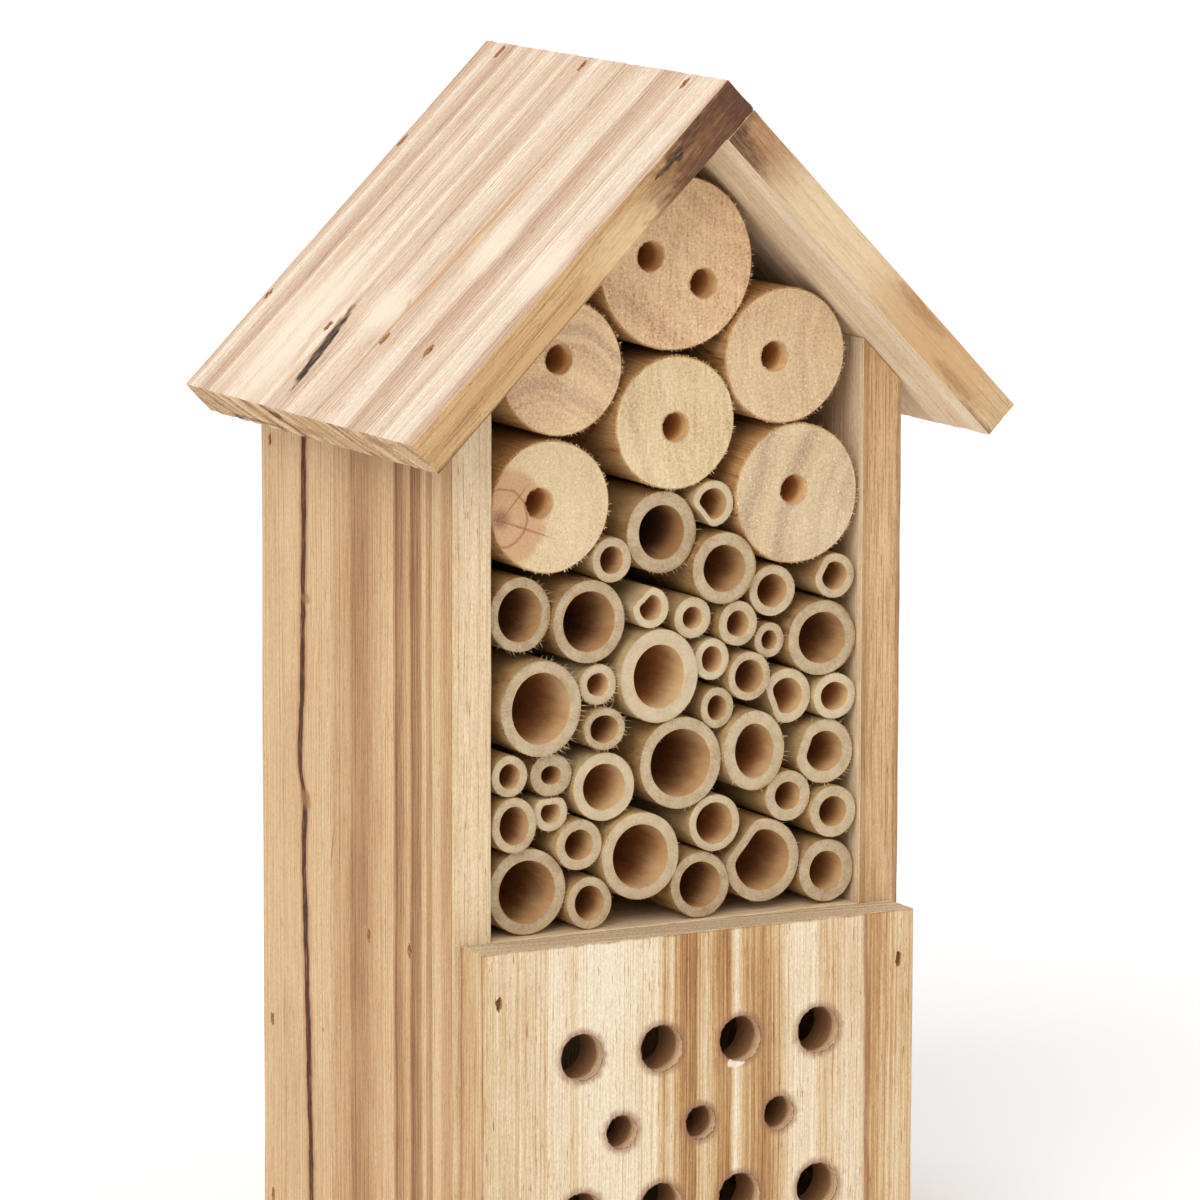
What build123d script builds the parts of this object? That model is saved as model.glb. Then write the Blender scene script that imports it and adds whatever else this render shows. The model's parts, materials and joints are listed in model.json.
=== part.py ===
from build123d import *
import math
import os

# Insect hotel: a slim wooden box with a gable roof. The upper compartment is packed with
# bamboo tubes and drilled logs; the lower one is closed in front by a drilled panel.
# Millimetres. X runs to the right, Y from front to back, Z up.
# The pieces are drawn from the middle of the shelf's top front edge, and written out from
# the middle of the bottom of the whole object.

# Body boards
body_width = 120.0
body_depth = 101.0
side_thickness = 10.5
back_thickness = 10.5
shelf_thickness = 10.5
base_thickness = 10.5
lower_height = 92.0          # bottom of the boards to the top of the shelf
wall_height = 128.5          # top of the shelf to the top outer edge of the left side board

# Drilled front panel
panel_thickness = 11.5
panel_inset = 2.0            # each side edge, in from the outside of the side boards
hole_pitch = 21.2            # between neighbouring big holes, and small ones
row_pitch = 19.0
first_row_drop = 27.0        # top of the panel to the first row
big_hole_diameter = 11.0
small_hole_diameter = 8.0
panel_rows = (4, 3, 4)       # holes in each row, rows of three being the small ones

# Roof: two boards at a right angle, the left one over the end of the right one
roof_thickness = 10.0
roof_depth = 120.0
front_overhang = 22.0
left_slope_length = 114.0
right_slope_length = 102.0
roof_lean = 0.7              # degrees that the ridge sits out of true, towards the left

# Brads: narrow T-headed nails, driven below the surface
brad_thickness = 1.2
brad_head_length = 3.0
brad_head_height = 1.0
brad_length = 18.0
brad_sink = 0.8
brad_clearance = 0.05
ridge_brad_distance = 3.0    # down the slope from the ridge
ridge_brad_places = (17.0, 67.0, 109.0)      # from the roof's front edge
side_brad_places = (27.0, 50.0, 79.0)        # from the roof's front edge
gable_brad_distances = (34.0, 84.0)          # down the slope, into the back panel
shelf_brad_places = (22.0, 43.0)             # from the front of the side boards
back_brad_drop = 21.5        # from the top of the side board to the highest brad of the back panel
middle_brad_drop = 36.0      # from the top of the shelf
low_brad_rise = 12.0         # from the bottom
side_brad_cover = 0.8        # wood between a slanting brad's tip and the inside of the side board
panel_brad_drop = 12.0       # from the panel's top, and from its bottom

# Cutters run this far past the wood that they cut
cut_past = 1.0

# Filling
filling_gap = 0.15
carry_gap = 0.5              # a piece this close to one below it counts as resting on it
level_share = 0.1            # pieces whose centres are nearer to level than this don't carry each other
settling_turns = 900
sinking_turns = 600
sinking_step = 0.03
log_front = (1.0, 1.6, 2.2)                  # how far in the front ends sit, taken in turn
tube_front = (1.0, 2.5, 1.5, 3.0, 2.0)
log_length = 86.0
tube_length = 87.0
log_hole_diameter = 7.0
log_hole_depth = 60.0
oval_limit = 0.02            # a cane whose radii differ by less is drawn round
flat_corner_share = 0.35     # corner radius of a flat-sided cane, as a share of its own
drawn_width = 99.0           # the compartment's inside width for which the filling is drawn
drawn_height = 187.0         # and its height under the ridge

# Hanger on the back: a steel plate let in flush, over a pocket for the nail's head
hanger_length = 60.0
hanger_height = 16.0
hanger_thickness = 1.5
hanger_hole_diameter = 8.0
hanger_pocket_diameter = 13.0
hanger_pocket_depth = 6.0
hanger_drop = 62.0           # from under the ridge
hanger_screw_spacing = 44.0
screw_shank_diameter = 3.0
screw_head_diameter = 6.0
screw_length = 9.0
screw_clearance = 0.05

# Logs: name, across and up to the centre, diameter, holes as (across, up) from the centre
logs = (
    ("log_top", 0, 156, 41.0, ((-7, 2), (7, -5))),
    ("log_left", -30, 134, 32.0, ((-1, 2),)),
    ("log_right", 28, 133, 32.5, ((-3, 0),)),
    ("log_centre", 0, 119, 32.0, ((0, -1),)),
    ("log_lower_left", -33, 101, 31.5, ((-3, 1),)),
    ("log_lower_right", 32, 100, 33.5, ((-1, 1),)),
)

# Bamboo tubes: across and up to the centre, width, height, wall, and where the cane grew
# flat, the way that the flat faces (degrees from +X) and its depth as a share of the radius
tubes = (
    (9, 98, 11.0, 11.0, 1.8, 220, 0.3),
    (-3, 93, 18.7, 19.5, 3.3, None, 0),
    (-17, 87, 10.5, 10.7, 2.1, None, 0),
    (13, 83, 17.2, 17.2, 3.0, None, 0),
    (26, 78, 12.4, 12.4, 2.2, None, 0),
    (43, 80, 10.8, 10.8, 2.0, 150, 0.12),
    (-40, 76, 16.3, 17.7, 2.4, None, 0),
    (-23, 74, 19.2, 19.8, 2.7, None, 0),
    (-7, 76, 9.7, 9.7, 1.8, 130, 0.25),
    (5, 72, 9.9, 9.9, 2.3, None, 0),
    (16, 70, 10.6, 10.8, 2.3, None, 0),
    (26, 65, 8.1, 8.5, 1.9, None, 0),
    (40, 64, 18.5, 18.1, 2.9, None, 0),
    (-4, 59, 20.9, 22.3, 3.6, None, 0),
    (10, 61, 9.3, 10.1, 1.9, None, 0),
    (20, 56, 11.5, 11.7, 1.9, None, 0),
    (30, 51, 13.2, 13.2, 2.3, 200, 0.3),
    (43, 50, 11.7, 11.1, 2.1, None, 0),
    (-36, 54, 21.3, 22.9, 2.9, None, 0),
    (-20, 59, 9.9, 9.7, 2.1, None, 0),
    (-19, 49, 11.2, 10.2, 1.8, None, 0),
    (13, 50, 8.9, 9.9, 1.9, None, 0),
    (2, 38, 21.9, 22.1, 2.9, None, 0),
    (22, 39, 16.5, 19.3, 3.1, None, 0),
    (41, 38, 15.6, 15.6, 2.9, 160, 0.12),
    (-44, 38, 9.5, 9.9, 2.0, None, 0),
    (-32, 37, 11.1, 10.3, 2.9, None, 0),
    (-19, 34, 16.3, 16.3, 2.6, None, 0),
    (-42, 26, 11.9, 13.3, 2.1, None, 0),
    (-33, 28, 9.0, 9.0, 1.9, 90, 0.25),
    (-26, 20, 12.3, 12.1, 2.4, None, 0),
    (-38, 10, 20.5, 20.5, 2.8, None, 0),
    (-23, 7, 11.9, 12.5, 2.1, None, 0),
    (-9, 16, 20.7, 20.9, 2.9, None, 0),
    (11, 22, 13.7, 13.7, 1.9, None, 0),
    (8, 8, 15.9, 15.9, 2.4, None, 0),
    (24, 12, 20.2, 20.2, 2.7, 140, 0.22),
    (30, 28, 12.4, 12.3, 2.7, None, 0),
    (42, 23, 12.8, 12.6, 2.6, None, 0),
    (42, 9, 15.0, 15.2, 2.9, None, 0),
)

# Worked out from the above
half_width = body_width / 2
inner_half = half_width - side_thickness
inner_depth = body_depth - back_thickness
bottom = -lower_height
left_pitch = math.radians(45 - roof_lean)
right_pitch = math.radians(45 + roof_lean)


# ---------------------------------------------------------------- roof lines, in the XZ plane

def along(point, direction, distance):
    """The point that lies a distance from another along a direction."""
    return (point[0] + direction[0] * distance, point[1] + direction[1] * distance)


down_left = (-math.cos(left_pitch), -math.sin(left_pitch))
down_right = (math.cos(right_pitch), -math.sin(right_pitch))
into_left = (math.sin(left_pitch), -math.cos(left_pitch))        # square to the left board, inwards
into_right = (-math.sin(right_pitch), -math.cos(right_pitch))


def under_left(x):
    """Height of the left roof board's underside."""
    return wall_height + (x + half_width) * math.tan(left_pitch)


ridge = (0.0, under_left(0) + roof_thickness / math.cos(left_pitch))
ridge_end = along(ridge, into_left, roof_thickness)
seam = along(ridge_end, into_right, roof_thickness)
left_eave = along(ridge, down_left, left_slope_length)
right_eave = along(ridge_end, down_right, right_slope_length)


def under_right(x):
    """Height of the right roof board's underside."""
    return seam[1] - (x - seam[0]) * math.tan(right_pitch)


# ---------------------------------------------------------------- shapes

def prism(points, front, back):
    """A solid from an outline in the XZ plane, running from front to back."""
    outline = Polyline(*[(x, front, z) for x, z in points], close=True)
    return extrude(make_face(outline), amount=back - front, dir=(0, 1, 0))


def block(low, high):
    """A box between two corners."""
    size = [high[i] - low[i] for i in range(3)]
    middle = [(high[i] + low[i]) / 2 for i in range(3)]
    return Pos(*middle) * Box(*size)


def rod(x, z, diameter, front, back):
    """A round bar from front to back."""
    return Pos(x, (front + back) / 2, z) * Rot(90, 0, 0) * Cylinder(diameter / 2, back - front)


# ---------------------------------------------------------------- brads

def brad_place(x, y, z, inward, grain):
    """Where a brad goes in: its local Z points out of the wood and its local X along the grain."""
    outward = (-inward[0], -inward[1], -inward[2])
    return Plane(origin=(x, y, z), x_dir=grain, z_dir=outward).location


def brad(place):
    """One T-headed brad, its head sunk below the surface."""
    head_top = -brad_sink
    shank_top = head_top - brad_head_height
    shank_bottom = head_top - brad_length
    half = brad_thickness / 2
    head = block((-brad_head_length / 2, -half, shank_top), (brad_head_length / 2, half, head_top))
    shank = block((-half, -half, shank_bottom), (half, half, shank_top))
    return place * (head + shank)


def brad_hole(place):
    """The space that a brad takes up, with the pit over its head."""
    slack = brad_clearance
    half = brad_thickness / 2 + slack
    reach = brad_head_length / 2 + slack
    shank_top = -brad_sink - brad_head_height - slack
    shank_bottom = -brad_sink - brad_length - slack
    pit = block((-reach, -half, shank_top), (reach, half, cut_past))
    shank = block((-half, -half, shank_bottom), (half, half, shank_top))
    return place * (pit + shank)


def roof_brad_places():
    """Ridge joint, roof into the side boards, roof into the back panel."""
    front = -front_overhang
    left_in, left_grain = (into_left[0], 0, into_left[1]), (down_left[0], 0, down_left[1])
    right_in, right_grain = (into_right[0], 0, into_right[1]), (down_right[0], 0, down_right[1])
    tip_x = inner_half + side_brad_cover
    tip_depth = brad_sink + brad_length
    left_run = (tip_x + tip_depth * into_left[0]) / math.cos(left_pitch)
    right_run = (tip_x - tip_depth * into_right[0] - ridge_end[0]) / math.cos(right_pitch)
    back_y = body_depth - back_thickness / 2
    places = []
    for y in ridge_brad_places:
        x, z = along(ridge, down_left, ridge_brad_distance)
        places.append(brad_place(x, front + y, z, left_in, left_grain))
    for y in side_brad_places:
        x, z = along(ridge, down_left, left_run)
        places.append(brad_place(x, front + y, z, left_in, left_grain))
        x, z = along(ridge_end, down_right, right_run)
        places.append(brad_place(x, front + y, z, right_in, right_grain))
    for distance in gable_brad_distances:
        x, z = along(ridge, down_left, distance)
        places.append(brad_place(x, back_y, z, left_in, left_grain))
        x, z = along(ridge_end, down_right, distance - roof_thickness)
        places.append(brad_place(x, back_y, z, right_in, right_grain))
    return places


def body_brad_places():
    """Side boards into the back panel, the shelf and the base."""
    back_y = body_depth - back_thickness / 2
    heights = (wall_height - back_brad_drop, -middle_brad_drop, bottom + low_brad_rise)
    spots = [(back_y, z) for z in heights]
    spots += [(y, -shelf_thickness / 2) for y in shelf_brad_places]
    spots += [(y, bottom + base_thickness / 2) for y in shelf_brad_places]
    places = []
    for y, z in spots:
        places.append(brad_place(-half_width, y, z, (1, 0, 0), (0, 0, 1)))
        places.append(brad_place(half_width, y, z, (-1, 0, 0), (0, 0, 1)))
    return places


def panel_brad_places():
    """Front panel into the front edges of the side boards."""
    x = half_width - side_thickness / 2 - panel_inset / 2
    heights = (-panel_brad_drop, bottom + panel_brad_drop)
    return [brad_place(side * x, -panel_thickness, z, (0, 1, 0), (0, 0, 1))
            for side in (-1, 1) for z in heights]


def nailed(board, places):
    """A board with the holes of all the brads that go through it."""
    return board - [brad_hole(place) for place in places]


# ---------------------------------------------------------------- boards

def roof_board_left():
    corners = [ridge, left_eave, along(left_eave, into_left, roof_thickness), ridge_end]
    return prism(corners, -front_overhang, roof_depth - front_overhang)


def roof_board_right():
    corners = [ridge_end, right_eave, along(right_eave, into_right, roof_thickness), seam]
    return prism(corners, -front_overhang, roof_depth - front_overhang)


def side_board_left():
    outer, inner = -half_width, -inner_half
    corners = [(outer, bottom), (inner, bottom), (inner, under_left(inner)), (outer, under_left(outer))]
    return prism(corners, 0, body_depth)


def side_board_right():
    outer, inner = half_width, inner_half
    corners = [(outer, bottom), (inner, bottom), (inner, under_right(inner)), (outer, under_right(outer))]
    return prism(corners, 0, body_depth)


def back_panel():
    corners = [(-inner_half, bottom), (inner_half, bottom), (inner_half, under_right(inner_half)),
               seam, (-inner_half, under_left(-inner_half))]
    board = prism(corners, inner_depth, body_depth)
    x, z = hanger_centre()
    half_long, half_high = hanger_length / 2, hanger_height / 2
    rebate = block((x - half_long, body_depth - hanger_thickness, z - half_high),
                   (x + half_long, body_depth + cut_past, z + half_high))
    pocket_front = body_depth - hanger_thickness - hanger_pocket_depth
    pocket = rod(x, z, hanger_pocket_diameter, pocket_front, body_depth)
    board = board - rebate - pocket
    for screw_x in hanger_screw_places():
        board = board - screw(screw_x, z, screw_clearance)
    return board


def shelf():
    return block((-inner_half, 0, -shelf_thickness), (inner_half, inner_depth, 0))


def base_board():
    return block((-inner_half, 0, bottom), (inner_half, inner_depth, bottom + base_thickness))


def panel_holes():
    """Centre and diameter of each hole of the front panel."""
    holes = []
    for row, count in enumerate(panel_rows):
        diameter = big_hole_diameter if count == max(panel_rows) else small_hole_diameter
        z = -first_row_drop - row * row_pitch
        holes += [((i - (count - 1) / 2) * hole_pitch, z, diameter) for i in range(count)]
    return holes


def front_panel():
    edge = half_width - panel_inset
    board = block((-edge, -panel_thickness, bottom), (edge, 0, 0))
    for x, z, diameter in panel_holes():
        board = board - rod(x, z, diameter, -panel_thickness - cut_past, cut_past)
    return board


# ---------------------------------------------------------------- hanger

def hanger_centre():
    """Across and up to the middle of the hanger."""
    return 0.0, seam[1] - hanger_drop


def hanger_screw_places():
    x, z = hanger_centre()
    return (x - hanger_screw_spacing / 2, x + hanger_screw_spacing / 2)


def screw(x, z, slack=0.0):
    """A countersunk screw, its head flush with the back, drawn larger by the slack."""
    head = screw_head_diameter / 2 + slack
    shank = screw_shank_diameter / 2 + slack
    cone = head - shank
    body = rod(x, z, 2 * shank, body_depth - screw_length - slack, body_depth - cone)
    top = Pos(x, body_depth - cone / 2, z) * Rot(-90, 0, 0) * Cone(shank, head, cone)
    return body + top


def hanger_plate():
    x, z = hanger_centre()
    half_long, half_high = hanger_length / 2, hanger_height / 2
    plate = block((x - half_long, body_depth - hanger_thickness, z - half_high),
                  (x + half_long, body_depth, z + half_high))
    plate_front = body_depth - hanger_thickness
    plate = plate - rod(x, z, hanger_hole_diameter, plate_front - cut_past, body_depth + cut_past)
    for screw_x in hanger_screw_places():
        plate = plate - screw(screw_x, z, screw_clearance)
    return plate


def hanger_screws():
    x, z = hanger_centre()
    return [screw(screw_x, z) for screw_x in hanger_screw_places()]


# ---------------------------------------------------------------- filling

def reach(piece, dx, dz):
    """How far a piece reaches from its centre along a unit direction."""
    size = math.hypot(piece["width"] * dx, piece["height"] * dz) / 2
    if piece["flat"] is None:
        return size
    turn = math.atan2(dz, dx) - math.radians(piece["flat"])
    turn = abs(math.atan2(math.sin(turn), math.cos(turn)))
    corner = math.acos(1 - piece["flat_depth"])
    return size if turn >= corner else size * math.cos(corner - turn)


def compartment_walls():
    """Each wall of the upper compartment in the XZ plane: a point on it and the way it faces."""
    return (
        ((0, 0), (0, 1)),
        ((-inner_half, 0), (1, 0)),
        ((inner_half, 0), (-1, 0)),
        ((0, under_left(0)), into_left),
        ((0, under_right(0)), into_right),
    )


def drawn_filling():
    """The pieces as drawn, stretched to the compartment's own size."""
    across = 2 * inner_half / drawn_width
    up = seam[1] / drawn_height
    size = min(across, up)
    pieces = []
    for name, x, z, diameter, holes in logs:
        pieces.append({"name": name, "x": x * across, "z": z * up, "width": diameter * size,
                       "height": diameter * size, "wall": None, "flat": None, "flat_depth": 0,
                       "holes": [(hx * size, hz * size) for hx, hz in holes]})
    for number, (x, z, width, height, wall, flat, flat_depth) in enumerate(tubes, 1):
        pieces.append({"name": f"bamboo_tube_{number:02d}", "x": x * across, "z": z * up,
                       "width": width * size, "height": height * size, "wall": wall * size,
                       "flat": flat, "flat_depth": flat_depth, "holes": []})
    return pieces


def clear_of_walls(piece, walls):
    """Push a piece back inside the compartment; say whether something below carries it."""
    carried = False
    for point, normal in walls:
        distance = (piece["x"] - point[0]) * normal[0] + (piece["z"] - point[1]) * normal[1]
        short = reach(piece, -normal[0], -normal[1]) + filling_gap - distance
        if short > 0:
            piece["x"] += short * normal[0]
            piece["z"] += short * normal[1]
        if short > -carry_gap and normal[1] > 0:
            carried = True
    return carried


def clear_of_each_other(first, second):
    """Push two pieces apart, the lighter one further; say which of them the other carries."""
    dx, dz = second["x"] - first["x"], second["z"] - first["z"]
    distance = math.hypot(dx, dz)
    dx, dz = dx / distance, dz / distance
    short = reach(first, dx, dz) + reach(second, -dx, -dz) + filling_gap - distance
    if short > 0:
        weight = first["width"] ** 2 / (first["width"] ** 2 + second["width"] ** 2)
        first["x"] -= short * (1 - weight) * dx
        first["z"] -= short * (1 - weight) * dz
        second["x"] += short * weight * dx
        second["z"] += short * weight * dz
    if short < -carry_gap or abs(dz) < level_share:
        return None
    return second if dz > 0 else first


def settle(pieces):
    """Let the pieces sink onto one another until each is carried and none overlap."""
    walls = compartment_walls()
    for turn in range(settling_turns):
        carried = set()
        for piece in pieces:
            if clear_of_walls(piece, walls):
                carried.add(piece["name"])
        for i, first in enumerate(pieces):
            for second in pieces[i + 1:]:
                upper = clear_of_each_other(first, second)
                if upper is not None:
                    carried.add(upper["name"])
        if turn < sinking_turns:
            for piece in pieces:
                if piece["name"] not in carried:
                    piece["z"] -= sinking_step
    return pieces


def flat_sided(radius, facing, depth):
    """A circle with one flat side, its two corners rounded."""
    corner = flat_corner_share * radius
    flat_at = radius * (1 - depth)
    inner = radius - corner
    swing = math.acos((flat_at - corner) / inner)
    half_flat = inner * math.sin(swing)

    def polar(distance, turn):
        return distance * math.cos(facing + turn), distance * math.sin(facing + turn)

    def corner_arc(side):
        centre = polar(inner, side * swing)
        middle = polar(corner, side * swing / 2)
        flat_end = polar(math.hypot(flat_at, half_flat), side * math.atan2(half_flat, flat_at))
        middle = (centre[0] + middle[0], centre[1] + middle[1])
        return polar(radius, side * swing), middle, flat_end

    first, second = corner_arc(1), corner_arc(-1)
    edges = [ThreePointArc(first[0], polar(radius, math.pi), second[0]), ThreePointArc(*second),
             Line(second[2], first[2]), ThreePointArc(*first[::-1])]
    return make_face(edges)


def outline(piece, wall=0.0):
    """Outside outline of a cane, or its bore where a wall is given, in the XY plane."""
    half_wide, half_high = piece["width"] / 2 - wall, piece["height"] / 2 - wall
    if piece["flat"] is not None:
        return flat_sided((half_wide + half_high) / 2, math.radians(piece["flat"]), piece["flat_depth"])
    if half_high - half_wide > oval_limit:
        return Rot(0, 0, 90) * Ellipse(half_high, half_wide)
    if half_wide - half_high > oval_limit:
        return Ellipse(half_wide, half_high)
    return Circle(half_wide)


def standing(shape, piece, front, back):
    """A flat shape stood up at the piece's place and drawn out from front to back."""
    place = Plane(origin=(piece["x"], front, piece["z"]), x_dir=(1, 0, 0), z_dir=(0, -1, 0))
    return extrude(place.location * shape, amount=-(back - front))


def tube(piece, number):
    """One cane, open right through, its front end a little way in."""
    front = tube_front[number % len(tube_front)]
    back = min(front + tube_length, inner_depth - filling_gap)
    bore = standing(outline(piece, piece["wall"]), piece, front - cut_past, back + cut_past)
    return standing(outline(piece), piece, front, back) - bore


def log(piece, number):
    """One length of branch, with blind holes drilled from the front."""
    front = log_front[number % len(log_front)]
    back = min(front + log_length, inner_depth - filling_gap)
    body = rod(piece["x"], piece["z"], piece["width"], front, back)
    for across, up in piece["holes"]:
        x, z = piece["x"] + across, piece["z"] + up
        body = body - rod(x, z, log_hole_diameter, front - cut_past, front + log_hole_depth)
    return body


# ---------------------------------------------------------------- the whole object

def all_nodes():
    """Every sub-part by name, as one solid or as a list of solids."""
    roof_places, body_places, panel_places = roof_brad_places(), body_brad_places(), panel_brad_places()
    places = roof_places + body_places + panel_places
    nodes = {
        "roof_board_left": nailed(roof_board_left(), roof_places),
        "roof_board_right": nailed(roof_board_right(), roof_places),
        "side_board_left": nailed(side_board_left(), places),
        "side_board_right": nailed(side_board_right(), places),
        "back_panel": nailed(back_panel(), roof_places + body_places),
        "shelf": nailed(shelf(), body_places),
        "base_board": nailed(base_board(), body_places),
        "front_panel": nailed(front_panel(), panel_places),
        "roof_brads": [brad(place) for place in roof_places],
        "body_brads": [brad(place) for place in body_places],
        "panel_brads": [brad(place) for place in panel_places],
        "hanger_plate": hanger_plate(),
        "hanger_screws": hanger_screws(),
    }
    for number, piece in enumerate(settle(drawn_filling()), 1):
        nodes[piece["name"]] = tube(piece, number) if piece["wall"] else log(piece, number)
    return nodes


def origin_shift():
    """From the drawing's zero to the middle of the bottom of the whole object."""
    middle_x = (left_eave[0] + right_eave[0]) / 2
    front, back = -front_overhang, max(body_depth, roof_depth - front_overhang)
    return (-middle_x, -(front + back) / 2, lower_height)


def main():
    os.makedirs("parts", exist_ok=True)
    shift = Pos(*origin_shift())
    for name, shape in all_nodes().items():
        solids = shape if isinstance(shape, list) else shape.solids()
        placed = [(shift * solid).solid() for solid in solids]
        whole = placed[0] if len(placed) == 1 else Compound(children=placed)
        export_step(whole, f"parts/{name}.step")


main()
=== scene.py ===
# %% [markdown]
# # An insect hotel in pale sawn wood
# A slim wooden house stands on a table: two side boards, a back, a shelf and a base under a steep
# roof. The upper room is packed with drilled branch pieces and hollow canes, where wild bees nest,
# and a drilled board closes the lower room.
# The measured model is loaded first and kept as it is. Every new piece takes its place from it,
# so the looks always fit the sizes.

# %% Load the measured model
import json
import math
import random

import bmesh
import bpy
from mathutils import Matrix, Vector, noise


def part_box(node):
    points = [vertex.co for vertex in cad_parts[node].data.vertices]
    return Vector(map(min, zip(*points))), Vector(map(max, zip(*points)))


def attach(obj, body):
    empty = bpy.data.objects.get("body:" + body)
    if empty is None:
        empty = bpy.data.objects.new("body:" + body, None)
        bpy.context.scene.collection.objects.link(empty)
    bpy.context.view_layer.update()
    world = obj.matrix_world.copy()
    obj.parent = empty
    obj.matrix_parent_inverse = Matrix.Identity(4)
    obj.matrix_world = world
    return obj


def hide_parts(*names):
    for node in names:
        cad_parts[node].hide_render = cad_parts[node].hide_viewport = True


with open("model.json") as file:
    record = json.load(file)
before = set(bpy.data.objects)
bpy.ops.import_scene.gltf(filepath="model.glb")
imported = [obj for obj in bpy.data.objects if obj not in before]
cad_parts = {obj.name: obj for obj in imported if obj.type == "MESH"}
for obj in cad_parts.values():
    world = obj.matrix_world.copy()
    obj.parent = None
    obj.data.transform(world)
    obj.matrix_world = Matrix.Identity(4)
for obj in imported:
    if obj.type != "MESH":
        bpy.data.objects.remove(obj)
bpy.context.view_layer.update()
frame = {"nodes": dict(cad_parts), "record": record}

MM = 0.001
record = frame["record"]

# %% [markdown]
# ## Where the main boards stand
# A joiner marks out from a few faces: here they are the front of the side boards, the top of the
# shelf and the middle of the body. The boards' sizes are read from the model, and only the
# thickness and the slope of the roof are written down, because a slanting board fills its box
# at an angle.

# %% Main faces
left_low, left_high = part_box("side_board_left")
right_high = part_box("side_board_right")[1]
shelf_low, shelf_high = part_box("shelf")
panel_low, panel_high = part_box("front_panel")
body_front, body_back = left_low.y, left_high.y
shelf_top = shelf_high.z
middle_x = (left_low.x + right_high.x) / 2
side_thickness = left_high.x - left_low.x
roof_thickness = 10 * MM
left_pitch = math.radians(44.3)
right_pitch = math.radians(45.7)
to_right, to_left = Vector((1, 0, 0)), Vector((-1, 0, 0))
backwards, forwards = Vector((0, 1, 0)), Vector((0, -1, 0))
upwards, downwards = Vector((0, 0, 1)), Vector((0, 0, -1))
print("body, mm:", round((right_high.x - left_low.x) / MM, 1), "wide,",
      round((body_back - body_front) / MM, 1), "painted_deep_shade")

# %% [markdown]
# ## Camera
# The house is seen from a little to its left and from just above, through a long lens, so the
# upright edges stay nearly parallel. The camera aims at a point on the front, above the shelf.

# %% Camera
camera_turn = math.radians(28.48)      # round to the left of square on
camera_rise = math.radians(9.27)
camera_roll = math.radians(0.17)
camera_distance = 1.682
aim = Vector((middle_x - 21.2 * MM, body_front, shelf_top + 78.6 * MM))
look = Vector((math.sin(camera_turn) * math.cos(camera_rise),
               math.cos(camera_turn) * math.cos(camera_rise), -math.sin(camera_rise)))
camera_data = bpy.data.cameras.new("camera")
camera_data.lens = 216.8
camera_data.sensor_width = 36
camera_data.clip_start = 0.05
camera_data.clip_end = 100
camera = bpy.data.objects.new("camera", camera_data)
bpy.context.collection.objects.link(camera)
camera.matrix_world = (Matrix.Translation(aim - look * camera_distance)
                       @ look.to_track_quat("-Z", "Y").to_matrix().to_4x4()
                       @ Matrix.Rotation(camera_roll, 4, "Z"))
bpy.context.scene.camera = camera
print("camera at, mm:", [round(c / MM) for c in camera.matrix_world.translation])

# %% [markdown]
# ## Building blocks for finishes
# Every finish here is a small network of nodes. These helpers add one node each, so a finish
# reads like a recipe: place, pattern, colour, height.

# %% Node helpers
def linear(red, green, blue):
    """A colour as a paint chart gives it, from 0 to 255, in the renderer's own scale."""
    parts = [c / 255 for c in (red, green, blue)]
    return tuple(c / 12.92 if c <= 0.04045 else ((c + 0.055) / 1.055) ** 2.4 for c in parts) + (1.0,)


def new_finish(name):
    """A material made of nodes, and its tree of nodes."""
    material = bpy.data.materials.new(name)
    material.use_nodes = True
    return material, material.node_tree


def add_node(tree, kind, inputs=None, **settings):
    """One node with its settings made, and its inputs fed with numbers or other sockets."""
    new = tree.nodes.new(kind)
    for name, value in settings.items():
        setattr(new, name, value)
    for key, value in (inputs or {}).items():
        if isinstance(value, bpy.types.NodeSocket):
            tree.links.new(value, new.inputs[key])
        else:
            new.inputs[key].default_value = value
    return new


def sums(tree, operation, *values):
    """Arithmetic on numbers or sockets."""
    return add_node(tree, "ShaderNodeMath", dict(enumerate(values)), operation=operation).outputs[0]


def reach_over(tree, value, low, high, to_low=0.0, to_high=1.0):
    """A value carried from one range to another, smoothly, and held at both ends."""
    return add_node(tree, "ShaderNodeMapRange",
                    {"Value": value, "From Min": low, "From Max": high, "To Min": to_low, "To Max": to_high},
                    interpolation_type="SMOOTHSTEP").outputs[0]


def mixed(tree, share, first, second, way="MIX"):
    """Two colours mixed, or multiplied and so on."""
    new = add_node(tree, "ShaderNodeMix", {0: share, 6: first, 7: second}, data_type="RGBA", blend_type=way)
    return new.outputs[2]


def darkened(tree, colour, tint):
    """A colour seen through a tint."""
    return mixed(tree, 1.0, colour, tint, "MULTIPLY")


def stretched(tree, place, along, across, through):
    """The place measured in other units along each axis, which stretches a pattern."""
    return add_node(tree, "ShaderNodeVectorMath", {0: place, 1: (1 / along, 1 / across, 1 / through)},
                    operation="MULTIPLY").outputs[0]


def swung(tree, tone, pattern, amount):
    """A tone raised and lowered by a pattern, which swings about one half."""
    return sums(tree, "MULTIPLY_ADD", sums(tree, "SUBTRACT", pattern, 0.5), amount, tone)


def clouds(tree, place, detail=2.0, rough=0.5):
    """Soft noise about a unit across."""
    return add_node(tree, "ShaderNodeTexNoise",
                    {"Vector": place, "Scale": 1.0, "Detail": detail, "Roughness": rough}).outputs[0]


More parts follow.
